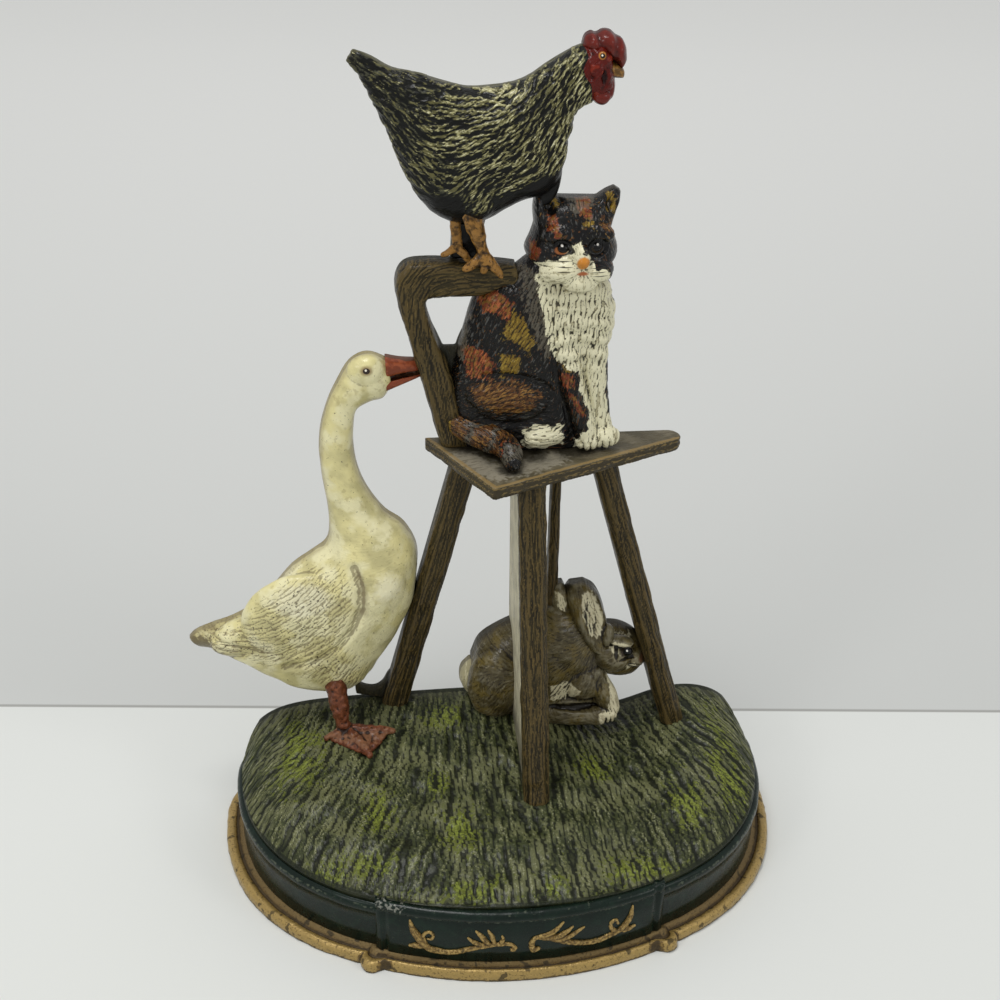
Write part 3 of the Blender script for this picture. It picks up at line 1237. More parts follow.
            lush = np.maximum(lush, np.exp(-away * 0.9))
        lush = lush * ramp(mottle(plan, 7.0, 9), 0.0, 0.45)
        skin.masks["fresh"] = lush * (0.5 + 0.5 * ridge) * top
        skin.masks["crest"] = ramp(plan[:, 1], -12.0, -1.0) * top
        skin.masks["rim"] = 1 - inland
        skin.place("ground", "grass", GRASS)

    def build(self) -> None:
        """Build the whole base."""
        self.flange()
        self.wall()
        self.panel()
        self.scrolls()
        self.mound()


@dataclass
class Stool:
    """Four-legged stool with a bent back, in brown wood-grain paint."""

    base: Base
    seat_top: float = 170.0
    seat_thickness: float = 5.0
    leg_width: float = 10.4
    leg_chamfer: float = 1.1
    front_foot: Pair = (11.5, -59.0)
    sunk: float = 1.0              # how far the feet reach into the ground

    @property
    def seat_under(self) -> float:
        """Height of the seat's underside."""
        return self.seat_top - self.seat_thickness

    def streaked(self, clay: Clay, flow: Rows, node: str, seed: int, length: float = 26.0) -> None:
        """Fuse a wooden part, cut grain along it and paint it.

        Args:
            clay: Lumps of the part.
            flow: Direction of the grain.
            node: CAD node that it stands for.
            seed: Choice of strokes.
            length: Length of a stroke.
        """
        skin = clay.fuse(0.5, 2)
        brush = Brush(flow, length, 0.7, 1.9, 0.03, seed)
        ridge, tone = skin.groom(brush, skin.front())
        side = Brush(((0, 100, 0, -1), (0, 160, 0, -1)), 24.0, 0.7, 1.9, 0.03, seed + 1)
        turned, _ = side.lay(np.column_stack((skin.spots[:, 1] * 0.9, skin.spots[:, 2])))
        facing = np.abs(skin.normals()[:, 1]) > (0.5 if "leg" in node else -1.0)
        groove = np.where(facing, ridge, turned)
        skin.push(-0.16 * groove + uneven(skin.spots, 5.0, seed, 0.6))
        skin.read_relief()
        skin.masks["streak"] = groove * (0.5 + 0.5 * tone)
        skin.place(node, "wood_brown", WOOD)

    def seat(self) -> None:
        """Build the seat, a square board that the back plane cuts off."""
        corners = ((-29, 2), (-29, -0.4), (-28.2, -1.8), (-7.4, -40.2), (-6.2, -41), (-4.9, -40.4),
            (63.8, -9.4), (67.2, -7.8), (68.8, -5.4), (68.8, -3), (67.4, -0.8), (64.6, 0.8), (60, 2))
        clay = Clay()
        clay.block(tuple(tuple((x, y, z) for x, y in corners) for z in (self.seat_under, self.seat_top)))
        skin = clay.fuse(0.6, 1)
        up = skin.normals()[:, 2]
        grooves = np.sin(2.6 * skin.spots[:, 2] + 3.0 * mottle(skin.spots[:, :2], 16.0, 23))
        skin.push(uneven(skin.spots, 5.0, 21, 0.5) + 0.16 * grooves * near(up, 0.0, 0.6, 0.3))
        skin.read_relief()
        plan = skin.spots[:, :2]
        rim = line_distance(plan, ((-29, 0), (-6.4, -41), (68.5, -7)))
        right = plan @ np.array((0.91, 0.41))
        skin.combed = np.column_stack((right, skin.spots[:, 2] + plan @ np.array((-0.41, 0.91))))
        skin.masks["dust"] = near_line(plan, ((-16, -16), (-5, -30), (18, -20)), 12.0, 1.0)
        skin.masks["edge"] = ramp(-up, -0.75, -0.45)
        skin.masks["edge_grain"] = skin.masks["edge"] * (0.42 + 0.22 * grooves)
        skin.masks["ridge"] = near(rim, 0.7, 1.1, 0.2) * ramp(up, 0.2, 0.7)
        feet = np.zeros(len(plan))
        for x, y, size in ((0, -14, 14), (26, -12, 12), (10, -16, 9), (35, -9, 8), (-14, -7, 10),
                (0, -28, 6)):
            feet = np.maximum(feet, np.exp(-((plan - (x, y)) ** 2).sum(axis=1) / size ** 2))
        skin.masks["foot"] = feet * ramp(up, 0.3, 0.8)
        skin.place("stool_seat", "wood_brown", SEAT_TOP)

    def bar(self, top: tuple[float, ...], foot: tuple[float, ...], width: float, rounded: float) -> Clay:
        """Shape a leg.

        Args:
            top: Section (x, front y, rear y, z) at its top.
            foot: Section at its foot.
            width: Its width.
            rounded: How much more its corners are trimmed.
        Returns:
            The leg, not yet fused.
        """
        sections = []
        for x, front, rear, z in (foot, top):
            half = width / 2
            trim = self.leg_chamfer + rounded
            sections.append(((x - half, rear, z), (x + half, rear, z), (x + half, front + trim, z),
                (x + half - trim, front, z), (x - half + trim, front, z), (x - half, front + trim, z)))
        clay = Clay()
        clay.block(tuple(sections), 12)
        return clay

    def legs(self) -> None:
        """Build the four legs."""
        low = self.seat_under + 0.6
        foot_z = self.base.ground_at(*self.front_foot) - self.sunk
        front = self.bar((8.6, -31.5, -23.5, low), (10.2, -63.0, -55.0, foot_z), self.leg_width, 1.4)
        self.streaked(front, ((0, 100, 0.03, -1), (10, 60, 0.03, -1)), "stool_leg_front", 31)
        left = self.bar((-13.0, -9.0, 2.0, low), (-42.8, -9.0, 2.0,
            self.base.ground_at(-42.8, -9.0) - self.sunk), self.leg_width, 1.2)
        left.slab(((-59, 61, -58.4, 52, 3), (-56, 56.6, -55.4, 51, 3), (-51, 55.2, -50, 50, 3),
            (-47.4, 57.4, -45, 50, 3), (-44.6, 62.5, -41, 50, 3), (-41, 64, -38, 50, 3)), 0.4)
        self.streaked(left, ((-30, 100, -0.25, -1), (-20, 140, -0.25, -1)), "stool_leg_left", 33)
        right = self.bar((37.6, -14.0, 2.0, low), (72.6, -22.0, 2.0,
            self.base.ground_at(72.6, -22.0) - self.sunk), 9.8, 1.4)
        right.ball(73.5, -9.0, 45.0, (4.2, 5.5, 4))
        self.streaked(right, ((50, 120, 0.29, -1), (70, 60, 0.29, -1)), "stool_leg_right", 35)
        rear = self.bar((21.7, -6.0, 2.0, low), (21.7, -6, 2, 94), 4.2, 0.4)
        self.streaked(rear, ((20, 120, 0, -1), (22, 100, 0, -1)), "stool_leg_rear", 37)

    def web(self) -> None:
        """Build the fin that joins the front leg to the back plane."""
        top = self.seat_under + 0.4
        foot_z = self.base.ground_at(*self.front_foot) - self.sunk
        sections = []
        for x, front, z in ((8.3, -55.6, foot_z), (6.4, -24.1, top)):
            sections.append(((x - 2.6, 2.0, z), (x + 2.0, 2.0, z), (x + 2.0, front, z),
                (x - 2.2, front, z)))
        clay = Clay()
        clay.block(tuple(sections), 12)
        skin = clay.fuse(0.6, 2)
        skin.push(uneven(skin.spots, 4.0, 41, 0.4))
        skin.read_relief()
        skin.combed = skin.spots[:, [2, 1]]
        skin.masks["low"] = ramp(-skin.spots[:, 2], -78.0, -46.0)
        skin.place("front_leg_web", "cream", WEB_CREAM)

    def back(self) -> None:
        """Build the bent back: an upright that turns into the top bar."""
        clay = Clay()
        clay.slab(((-23.5, -0.5, -12.5, -0.5, 9), (-28, 15.9, -17, 18.8, 9), (-31.5, 28.9, -20.5, 31.8, 9),
            (-34.5, 40.4, -24.5, 41.9, 9), (-38, 52.7, -28, 52.7, 9), (-39.8, 64.3, -28.6, 57, 9),
            (-36.5, 71.5, -27, 58.5, 9), (-28, 72.9, -24, 58.8, 9), (-15, 72.2, -13, 59.2, 9),
            (-4, 71.8, -4, 60.6, 9), (3.4, 70.8, 4.4, 61.7, 8.6)), 0.42, self.seat_top + 0.3)
        for rows in (((-21, 171, -10, 171, 2.6), (-24.5, 185, -12, 185, 2.6), (-27, 198, -13, 198, 2.5),
                (-28, 208.6, -13.5, 208.6, 2.3)), ((-30, 204, -20.5, 204, 2.4),
                (-30.5, 212, -24.2, 213, 2.3), (-31.5, 219, -27.4, 220, 2.2), (-33, 227, -30, 227, 2)),
                ((-19, 204, -8, 204, 2.4), (-16.8, 211.5, -8, 212, 2.3), (-13.6, 219, -6, 220, 2.2),
                (-12, 226, -5, 226, 2))):
            clay.slab(rows, 0.5)
        self.streaked(clay, ((-18, 175, -0.25, 1), (-28, 205, -0.26, 1), (-33, 228, -0.2, 1),
            (-32, 237, 0.6, 0.8), (-22, 238, 1, 0.05), (-5, 237, 1, -0.05)), "stool_backrest", 43, 9.0)

    def build(self) -> None:
        """Build the whole stool."""
        self.seat()
        self.legs()
        self.web()
        self.back()


@dataclass
class Cat:
    """Seated calico cat."""

    seat: float = 170.3

    def head(self) -> None:
        """Build the head: ears, cheeks, muzzle, nose and eyes."""
        clay = Clay()
        clay.slab(((17, 95, 31, 94.6, 6), (11.6, 92, 35.8, 91.6, 10), (10.2, 87, 36, 87, 13),
            (8.6, 81.5, 38.2, 81.5, 14.5), (6.6, 76, 40, 76, 15.5), (8.6, 72, 38.8, 72, 15),
            (14, 69, 35.4, 69.2, 13), (19.4, 66.6, 30.4, 66.8, 8)), 0.78, self.seat)
        for rows in (((10, 83, 22, 88, 10), (9.2, 90, 18.5, 93.6, 8.5), (9.8, 95, 15.4, 96.6, 6),
                (11.4, 97.4, 13.6, 97.6, 3)), ((27, 89, 36.6, 83, 10), (30.6, 93.6, 38.2, 88.5, 8.5),
                (34.6, 96.6, 39.8, 92.8, 6), (37.8, 98, 40.2, 96.4, 3))):
            clay.slab(rows, 0.6, self.seat)
        clay.ball(20.0, -13.2, 241.6, (7.4, 4.6, 4.6), 8)
        clay.ball(30.6, -13.0, 241.2, (6.4, 4.6, 4.4), -10)
        clay.ball(25.4, -15.6, 247.2, (3.2, 3.2, 4.4))
        clay.ball(25.5, -18.0, 246.1, (2.1, 1.8, 1.8))
        clay.ball(25.4, -13.0, 237.6, (6.6, 5, 4.6))
        clay.ball(16.8, -11.0, 240.4, (6, 4.4, 4.6))
        clay.ball(32.6, -11.0, 241.2, (5, 4.4, 4.4))
        clay.ball(17.8, -11.0, 254.4, (6.2, 3.6, 3.6), 12)
        clay.ball(31.6, -11.0, 254.4, (5.8, 3.6, 3.6), -12)
        skin = clay.fuse(0.4, 5)
        flat = skin.front()
        for x, z in ((18.5, 249.9), (31.3, 249.9)):
            away = np.linalg.norm((flat - (x, z)) / (3.6, 2.8), axis=1)
            skin.push(-1.4 * ramp(-away, -1.35, -0.75) + 1.3 * ramp(-away, -0.85, -0.2))
        for x, z, across, up in ((13.8, 263.6, 2.8, 3.8), (36.2, 263.6, 2.4, 3.8)):
            skin.push(-2.6 * near_oval(flat, (x, z), (across, up), 1.2, 0.2))
        brush = Brush(((25.5, 252, 0, 1), (14, 256, -0.4, 1), (36, 256, 0.4, 1), (10, 247, -1, 0.2),
            (40, 247, 1, 0.2), (14, 240, -0.9, -0.5), (36, 240, 0.9, -0.5), (20, 244, -0.9, -0.1),
            (31, 244, 0.9, -0.1), (25.5, 236, 0, -1)), 3.4, 0.6, 0.9, 0.06, 51)
        ridge, tone = skin.groom(brush, flat)
        calm = 1 - near_line(flat, ((18.5, 249.9), (18.6, 250)), 4.2, 3.0)
        calm *= 1 - near_line(flat, ((31.3, 249.9), (31.4, 250)), 4.2, 3.0)
        skin.push(0.13 * ridge * calm)
        skin.read_relief()
        self.blotches(skin, ridge, tone, {
            "cream": (((9.9, 243.8), (15.2, 245.8), (19.5, 247.8), (21.8, 250), (24.6, 251.6),
            (26.8, 248.8), (30.2, 244), (35, 241), (36.4, 237), (36, 228), (12, 228), (9.6, 239.6)),),
            "rust": (((23.4, 266.4), (28.2, 266.4), (28.6, 260), (24.6, 259.6)),
            ((13.4, 259.8), (16.6, 260.2), (17.4, 255), (15.2, 252.6), (13.4, 255.4)),
            ((7.6, 250.4), (10.6, 251), (11, 245.6), (8.8, 243.6))),
            "ochre": (((12.2, 267.6), (16.8, 267.4), (17.6, 263.2), (13.4, 262)),
            ((34.6, 266.8), (38.2, 267.4), (37.8, 261), (34.8, 260.6)),
            ((25.8, 259.8), (29.4, 259.6), (29.4, 256.2), (26.2, 256.6))),
            "brown": (((32.4, 258.8), (37, 258.2), (37, 253.8), (33.4, 254.4)),),
            "pale": (((19.4, 267), (31.4, 266.8), (30.6, 263), (24, 261), (20.6, 260.4)),
            ((36, 260), (39.6, 259), (40, 248), (37.6, 248)))})
        skin.masks["cream_groove"] *= 0.75
        skin.place("cat_head", "calico", CAT_FACE)

    def blotches(self, skin: Skin, ridge: np.ndarray, tone: np.ndarray,
            patches: dict[str, tuple[Rows, ...]]) -> None:
        """Keep the masks of the coat's patches and of the fur strokes inside them.

        Args:
            skin: Surface of the piece.
            ridge: How high each point lies on a stroke.
            tone: Tone of that stroke.
            patches: Outlines of each colour's patches.
        """
        flat = skin.front() + (np.column_stack((mottle(skin.front(), 2.2, 61),
            mottle(skin.front(), 2.2, 62))) - 0.5) * 2.2
        ahead = 1 - ramp(skin.spots[:, 1], -4.0, -2.5)
        for name, outlines in patches.items():
            cover = np.zeros(len(flat))
            for outline in outlines:
                cover = np.maximum(cover, patch(flat, outline, 1.3))
            skin.masks[name] = cover * ahead
        skin.masks["stroke"] = ridge * tone
        for name in ("rust", "ochre", "brown"):
            skin.masks[name + "_stroke"] = skin.masks[name] * (0.15 + 0.85 * ridge * tone)
        skin.masks["cream_groove"] = skin.masks["cream"] * (1 - np.clip(ridge * 1.8, 0, 1)) * 0.75
        skin.masks["broad"] = skin.masks["broad"] - 0.2 * skin.masks["cream"]
        skin.masks["fine"] = skin.masks["fine"] - 0.1 * skin.masks["cream"]

    def body(self) -> None:
        """Build the body: back, haunch, chest, forelegs and paws."""
        clay = Clay()
        clay.slab(((9, 74, 34, 72, 10), (-2.2, 65, 38, 61, 11), (-10.7, 59, 40.4, 53, 12.5),
            (-14.9, 46, 40, 42, 13.5), (-17.1, 38, 36.5, 34, 14), (-19.5, 27, 33.5, 26, 14),
            (-19.5, 17, 34, 17, 14), (-18, 8, 35.5, 8, 13.5), (-16.5, -0.4, 37, -0.4, 13)), 0.7, self.seat)
        clay.ball(26.5, -8.5, 221.5, (12, 6.6, 16.5), 2)
        clay.ball(4.0, -8.0, 218.0, (14, 6.4, 17), 20)
        clay.ball(0.4, -9.6, 191.6, (15.6, 6.6, 8.2), -6)
        clay.limb(((20.5, -9.6, 214, 5.4), (23.6, -12.4, 199, 4.7), (27.6, -13, 186, 4.2),
            (30.4, -13.2, 176, 4.2)))
        clay.limb(((32, -8.5, 214, 5.4), (33.4, -9.4, 198, 4.6), (35.4, -9.2, 184, 4.2),
            (37, -9.6, 176, 4.2)))
        clay.ball(31.0, -14.0, 173.9, (4.8, 3.9, 3.5))
        clay.ball(37.8, -12.8, 174.8, (5.6, 4.4, 4.2), 6)
        clay.limb(((21, -10, 175.6, 4), (14.5, -13, 175.6, 3.8), (10.4, -14, 175.2, 3.2)))
        skin = clay.fuse(0.45, 3)
        flat = skin.front()
        rim = np.linalg.norm((flat - (0.4, 191.6)) @ np.array(((0.995, 0.1), (-0.1, 0.995))) / (15.2, 8.8),
            axis=1)
        skin.push(-1.1 * near(rim, 1.12, 0.26, 0.02) * ramp(flat[:, 0], -14, -6))
        skin.push(-0.4 * near_line(flat, ((16, 216), (17.5, 204), (21.5, 190), (26, 176)), 2.4, 0.4))
        for x in (36.8, 39.6, 29.4, 32.2):
            skin.push(-0.8 * near_line(flat, ((x, 169.0), (x - 0.6, 174.4)), 0.9, 0.2)
                * ramp(-skin.spots[:, 1], 11.0, 13.0))
        chest = patch(flat, ((7, 238), (13, 234), (16, 214), (20, 205), (33, 203), (38, 210), (41, 222),
            (38, 236), (28, 240)), 2.0)
        brush = Brush(((26, 236, 0, -1), (18, 222, 0.06, -1), (36, 222, -0.1, -1), (26, 206, 0, -1),
            (33, 185, 0.05, -1), (24, 190, 0.2, -1), (0, 232, -0.7, -0.7), (-8, 218, -0.35, -1),
            (8, 214, -0.55, -0.8), (-12, 204, -0.25, -1), (0, 204, -0.5, -0.9), (-14, 190, -0.8, -0.5),
            (0, 191, -1, -0.05), (12, 190, -0.9, 0.4), (14, 175, -1, 0)), 4.2, 0.85, 1.1, 0.08, 53)
        ridge, tone = skin.groom(brush, flat)
        tiers = np.sin((flat[:, 1] + 2.5 * mottle(flat, 5.0, 55) + 0.02 * (flat[:, 0] - 26) ** 2) * 1.05)
        skin.push((0.24 + 0.22 * chest) * ridge + 0.45 * chest * (tiers + mottle(flat, 4.0, 54) - 0.5))
        skin.read_relief()
        self.blotches(skin, ridge, tone, {
            "cream": (((9.5, 240), (11, 232.4), (12.4, 226), (13.8, 219), (16.2, 212), (19.2, 207),
            (22.6, 205.4), (25.6, 203), (26.8, 197), (29.2, 190.4), (31, 184.6), (29.6, 179), (27, 175.6),
            (27, 168), (46, 168), (45.5, 179), (38.2, 185), (36.4, 198), (37.6, 206), (42, 214), (42, 230),
            (37, 240)), ((6.2, 178.6), (10.4, 180.4), (21, 180), (22.2, 172.8), (10, 170.8), (6.4, 173.4))),
            "rust": (((-11.6, 233), (-3, 232.4), (1.6, 229.9), (1.8, 223.4), (-4, 225), (-9, 224.6)),
            ((-15.6, 211.6), (-8.4, 211), (-4.2, 205), (-5.2, 199), (-14, 199.8)),
            ((19, 203.6), (23.4, 202.4), (24.6, 197.2), (20.6, 197.6)),
            ((21.8, 196), (25.4, 195), (29, 186), (25.6, 186.4))),
            "ochre": (((1.6, 228.6), (4.6, 225.4), (10.4, 213.4), (8, 209.4), (2.6, 213.8), (-3.2, 217.4),
            (0.6, 222)), ((-3, 210.4), (4, 209.4), (4.6, 201.8), (-2.2, 199.8)),
            ((18.8, 209.4), (23.4, 208.2), (23.6, 203.8), (19.4, 203.8))),
            "brown": (((-13.4, 196.6), (-6, 199), (4, 199.6), (13.6, 193), (9.4, 187.2), (-2, 186.4),
            (-11, 190)),),
            "pale": (((3, 243), (13.4, 240), (14.6, 228), (17.6, 212), (14, 206), (9.6, 216), (5, 230)),
            ((-17.2, 224), (-12.4, 222), (-14, 205), (-19.4, 206)))})
        skin.place("cat_body", "calico", CALICO)

    def tail(self) -> None:
        """Build the tail that curls forward over the seat."""
        clay = Clay()
        clay.limb(((-19.5, -3, 180.4, 3.6), (-16.5, -6.5, 178.6, 4.6), (-11, -10.5, 176.9, 5),
            (-5, -14, 176, 5.1), (-0.8, -18.5, 175.2, 4.8), (1, -24, 174.5, 4.3), (1.4, -29, 173.4, 3)))
        skin = clay.fuse(0.42, 2)
        brush = Brush(((-16, 180, 0.8, -0.5), (-6, 177, 0.9, -0.4), (1, 172, 0.2, -1)), 5.0, 0.9, 1.2, 0.1,
            57)
        tilted = skin.front() + np.outer(skin.spots[:, 1], (0, 0.5))
        ridge, tone = skin.groom(brush, tilted)
        skin.push(0.3 * ridge + uneven(skin.spots, 4.0, 59, 0.9))
        skin.spots[:, 2] = np.maximum(skin.spots[:, 2], self.seat - 0.2)
        skin.read_relief()
        along = -skin.spots[:, 1] + 0.45 * skin.spots[:, 0] + uneven(skin.spots, 3.2, 58, 6.0)
        bands = {
            "ochre": ((-1, 1.6),),
            "brown": ((1, 7), (9, 14), (16.5, 21)),
            "rust": ((22.5, 24.5),),
            "pale": ((6, 10), (13.5, 17.5), (24.5, 31))}
        for name, spans in bands.items():
            cover = np.zeros(len(along))
            for low, high in spans:
                cover = np.maximum(cover, ramp(along, low - 1.6, low + 1.6)
                    * ramp(-along, -high - 1.6, -high + 1.6))
            skin.masks[name] = cover * 0.9
        skin.masks["stroke"] = ridge * tone
        for name in ("rust", "ochre", "brown"):
            skin.masks[name + "_stroke"] = skin.masks[name] * ridge * tone
        skin.place("cat_tail", "calico", CALICO)

    def build(self) -> None:
        """Build the whole cat."""
        self.head()
        self.body()
        self.tail()


@dataclass
class Hen:
    """Speckled hen that perches on the stool's back."""

    perch: float = 244.5

    def body(self) -> None:
        """Build the feathered body with its red face."""
        clay = Clay()
        clay.slab(((-52.2, 71.2, -54.4, 67.6, 3), (-46.2, 69, -49.5, 61, 5), (-39.6, 65.3, -45.3, 52, 7),
            (-31.6, 63.5, -41, 43, 9.5), (-23.3, 61, -36, 31, 12.5), (-14.5, 58.8, -27.2, 16.5, 14.5),
            (-5.4, 59.2, -12.5, 11.5, 15.5), (1.4, 60.2, 2.4, 18.5, 14.5), (7.1, 62.6, 16.5, 24.5, 12.5),
            (12.4, 66.3, 20.6, 41.5, 11), (17.7, 69.5, 23.1, 50.7, 10), (23.7, 72.4, 29.4, 54.5, 9),
            (30.5, 73.8, 34.8, 61, 7)), 0.7, self.perch)
        clay.slab(((-20.5, 16, -6.5, 16, 5), (-19.5, 8, -8, 8, 4.2), (-20, -1.5, -6, -1.5, 4.2)), 0.4,
            self.perch)
        clay.slab(((8, 30, 19, 33, 8), (10, 22, 18.6, 25, 7), (10.5, 18, 15.5, 19, 6)), 0.5, self.perch)
        clay.ball(29.6, -5.4, 308.5, (5.2, 5.4, 9), 6)
        clay.ball(-11.5, -9.2, 268.0, (7.5, 6.4, 9), 10)
        clay.ball(-24.0, -6.5, 274.0, (9, 6, 10), 30)
        skin = clay.fuse(0.42, 3)
        flat = skin.front()
        face = patch(flat, ((24.3, 317.4), (25.6, 314.1), (23.7, 310.7), (24.5, 308), (26.7, 305.4),
            (27.4, 300), (31.1, 298.9), (36, 300.4), (37, 308), (36.4, 315.5), (33, 319.5), (26.6, 319.4)),
            0.6)
        plain = patch(flat, ((-29, 269), (-17.5, 269.4), (-15, 263), (-7, 263.4), (-3.6, 268), (4, 271.4),
            (8.1, 273.6), (16, 275.5), (22, 282), (22, 255), (-20, 232), (-32, 258)), 1.6)
        tail = ramp(-flat[:, 0] + 0.35 * (flat[:, 1] - 290), 24.0, 42.0)
        brush = Brush(((20, 314, -0.65, -0.76), (8, 302, -0.62, -0.78), (18, 300, -0.42, -0.9),
            (21, 288, -0.18, -1), (10, 287, -0.38, -0.93), (0, 294, -0.8, -0.6), (-6, 282, -0.85, -0.5),
            (-8, 301, -1, 0.05), (-25, 303, -1, 0.25), (-20, 290, -0.97, -0.2), (-40, 305, -0.87, 0.5),
            (-38, 292, -0.62, 0.75), (-30, 278, -0.62, 0.6), (2, 274, -0.9, -0.35), (-12, 268, -0.4, -0.9),
            (16, 280, -0.5, -0.85)), 6.4, 0.82, 1.35, 0.24, 71)
        ridge, tone = skin.groom(brush, flat)
        feathered = (1 - face) * (1 - plain)
        skin.push(feathered * (0.5 - 0.12 * tail) * ridge
            + 0.6 * (1 - face) * (mottle(flat, 5.0, 72) - 0.5))
        hollow = near_oval(flat, (31.2, 308), (1.5, 3.4), 1.25, 0.4)
        lumps = mottle(flat, 1.9, 74)
        skin.push(-1.5 * face * hollow + 1.1 * face * (lumps - 0.5))
        skin.push(0.6 * near_oval(flat, (29.9, 315), (1, 1), 1.6, 0.5))
        skin.read_relief()
        fluff = near_oval(flat, (-10.8, 267.6), (5, 6.5), 1.1, 0.4)
        dense = (1 - 0.42 * tail) * (0.64 + 0.5 * mottle(flat, 8.0, 73)) * ramp(flat[:, 1]
            + 0.35 * flat[:, 0], 246, 270)
        skin.masks["stroke"] = feathered * ridge * tone
        skin.masks["cream_stroke"] = np.maximum(feathered * dense
            * (0.12 + 0.88 * ridge * (0.55 + 0.45 * tone)), fluff * (0.2 + 0.6 * ridge))
        skin.masks["plain"] = plain * (1 - face) * (1 - fluff)
        skin.masks["face"] = face
        skin.masks["face_crest"] = face * ramp(lumps, 0.55, 0.85)
        skin.masks["face_hollow"] = face * np.maximum(hollow, 0.6 * ramp(-lumps, -0.45, -0.15))
        skin.masks["side"] = skin.masks["side"] * (1 - face)
        skin.place("hen_body", "hen_black", HEN_FEATHERS)

    def comb(self) -> None:
        """Build the lobed comb and the wattle."""
        clay = Clay()
        clay.slab(((24, 72.8, 25.4, 70, 4.2), (24.8, 75.6, 27.4, 69.4, 6), (26.8, 76.9, 29.6, 69.2, 7),
            (28.6, 76.4, 30.8, 68.8, 6.2), (30.8, 77.5, 32.2, 68.4, 7), (33.4, 77.2, 33.6, 67.8, 7.2),
            (35.4, 75.6, 34.8, 66.8, 6.4), (37.6, 74.4, 36.2, 65.8, 6.8), (39.2, 71.4, 36.9, 64.8, 5.6),
            (39.4, 68, 37.4, 63.6, 4)), 0.85, self.perch)
        self.red(clay, "hen_comb", 75, 6)
        clay = Clay()
        clay.slab(((28.8, 64.5, 35.5, 62, 7.5), (27.6, 60, 35.8, 58, 8), (28.2, 55.2, 35, 55.4, 7.5),
            (29.5, 52.7, 33.4, 53.3, 4)), 0.62, self.perch)
        clay.ball(30.6, -7.6, 300.8, (3, 2.4, 2.6))
        self.red(clay, "hen_wattle", 76, 4)

    def red(self, clay: Clay, node: str, seed: int, rounds: int) -> None:
        """Fuse and paint a fleshy red part.

        Args:
            clay: Lumps of the part.
            node: CAD node that it stands for.
            seed: Choice of lumps.
            rounds: How often it is smoothed.
        """
        skin = clay.fuse(0.3, rounds)
        flat = skin.front()
        hollow = near_oval(flat, (31.2, 307), (1.5, 3.8), 1.25, 0.4)
        skin.push(uneven(skin.spots, 2.6, seed, 0.5) - 1.3 * hollow)
        skin.read_relief()
        skin.place(node, "comb_red", COMB_RED)

    def beak(self) -> None:
        """Build the short curved beak."""
        clay = Clay()
        clay.slab(((33.6, 67.4, 33.6, 61.8, 6.5), (36.4, 66.4, 36.4, 61.4, 5.5),
            (38.6, 64.4, 38.2, 61.2, 4), (39.2, 62.8, 38.8, 61, 2)), 0.7, self.perch)
        skin = clay.fuse(0.25, 2)
        skin.read_relief()
        skin.place("hen_beak", "horn_ochre", HORN)

    def leg(self, node: str, shank: Rows, toes: tuple[Rows, ...], seed: int) -> None:
        """Build a scaly leg with its toes.

        Args:
            node: CAD node that it stands for.
            shank: Points (x, y, z, radius) of the shank.
            toes: The same for each toe.
            seed: Choice of scales.
        """
        clay = Clay()
        clay.limb(shank)
        for toe in toes:
            clay.limb(toe)
        skin = clay.fuse(0.32, 2)
        skin.push(uneven(skin.spots, 1.8, seed, 0.7))
        skin.spots[:, 1] = np.minimum(skin.spots[:, 1], -0.3)
        skin.read_relief()
        skin.place(node, "horn_ochre", HORN)

    def build(self) -> None:
        """Build the whole hen."""
        self.body()
        self.comb()
        self.beak()
        self.leg("hen_leg_near", ((-13.4, -9.5, 262.6, 3.6), (-11.8, -10, 257, 3.3),
            (-9.9, -10.2, 251, 2.3), (-8.8, -10.6, 246.6, 2.3)),
            (((-8.8, -10.6, 246.6, 2.2), (-12.4, -11.6, 244, 1.9), (-15.2, -11.4, 242, 1.2)),
            ((-8.8, -10.6, 246.6, 2.2), (-5.6, -11.8, 243.4, 1.8), (-2.6, -11.2, 239.2, 1.2)),
            ((-8.8, -10.6, 246.4, 2), (-8.6, -12, 243.8, 1.7), (-8.8, -11.6, 241.2, 1.1))), 77)
        self.leg("hen_leg_far", ((-18.6, -5.4, 260.6, 2.3), (-18, -5.8, 253, 1.9),
            (-17.6, -6.2, 248.6, 1.8)), (((-17.6, -6.2, 248.8, 1.7), (-20.6, -7, 246.8, 1.4),
            (-22.8, -6.8, 245.6, 0.9)), ((-17.6, -6.2, 248.8, 1.7), (-15.2, -7.4, 245.6, 1.5),
            (-12.8, -7.2, 242, 1))), 78)


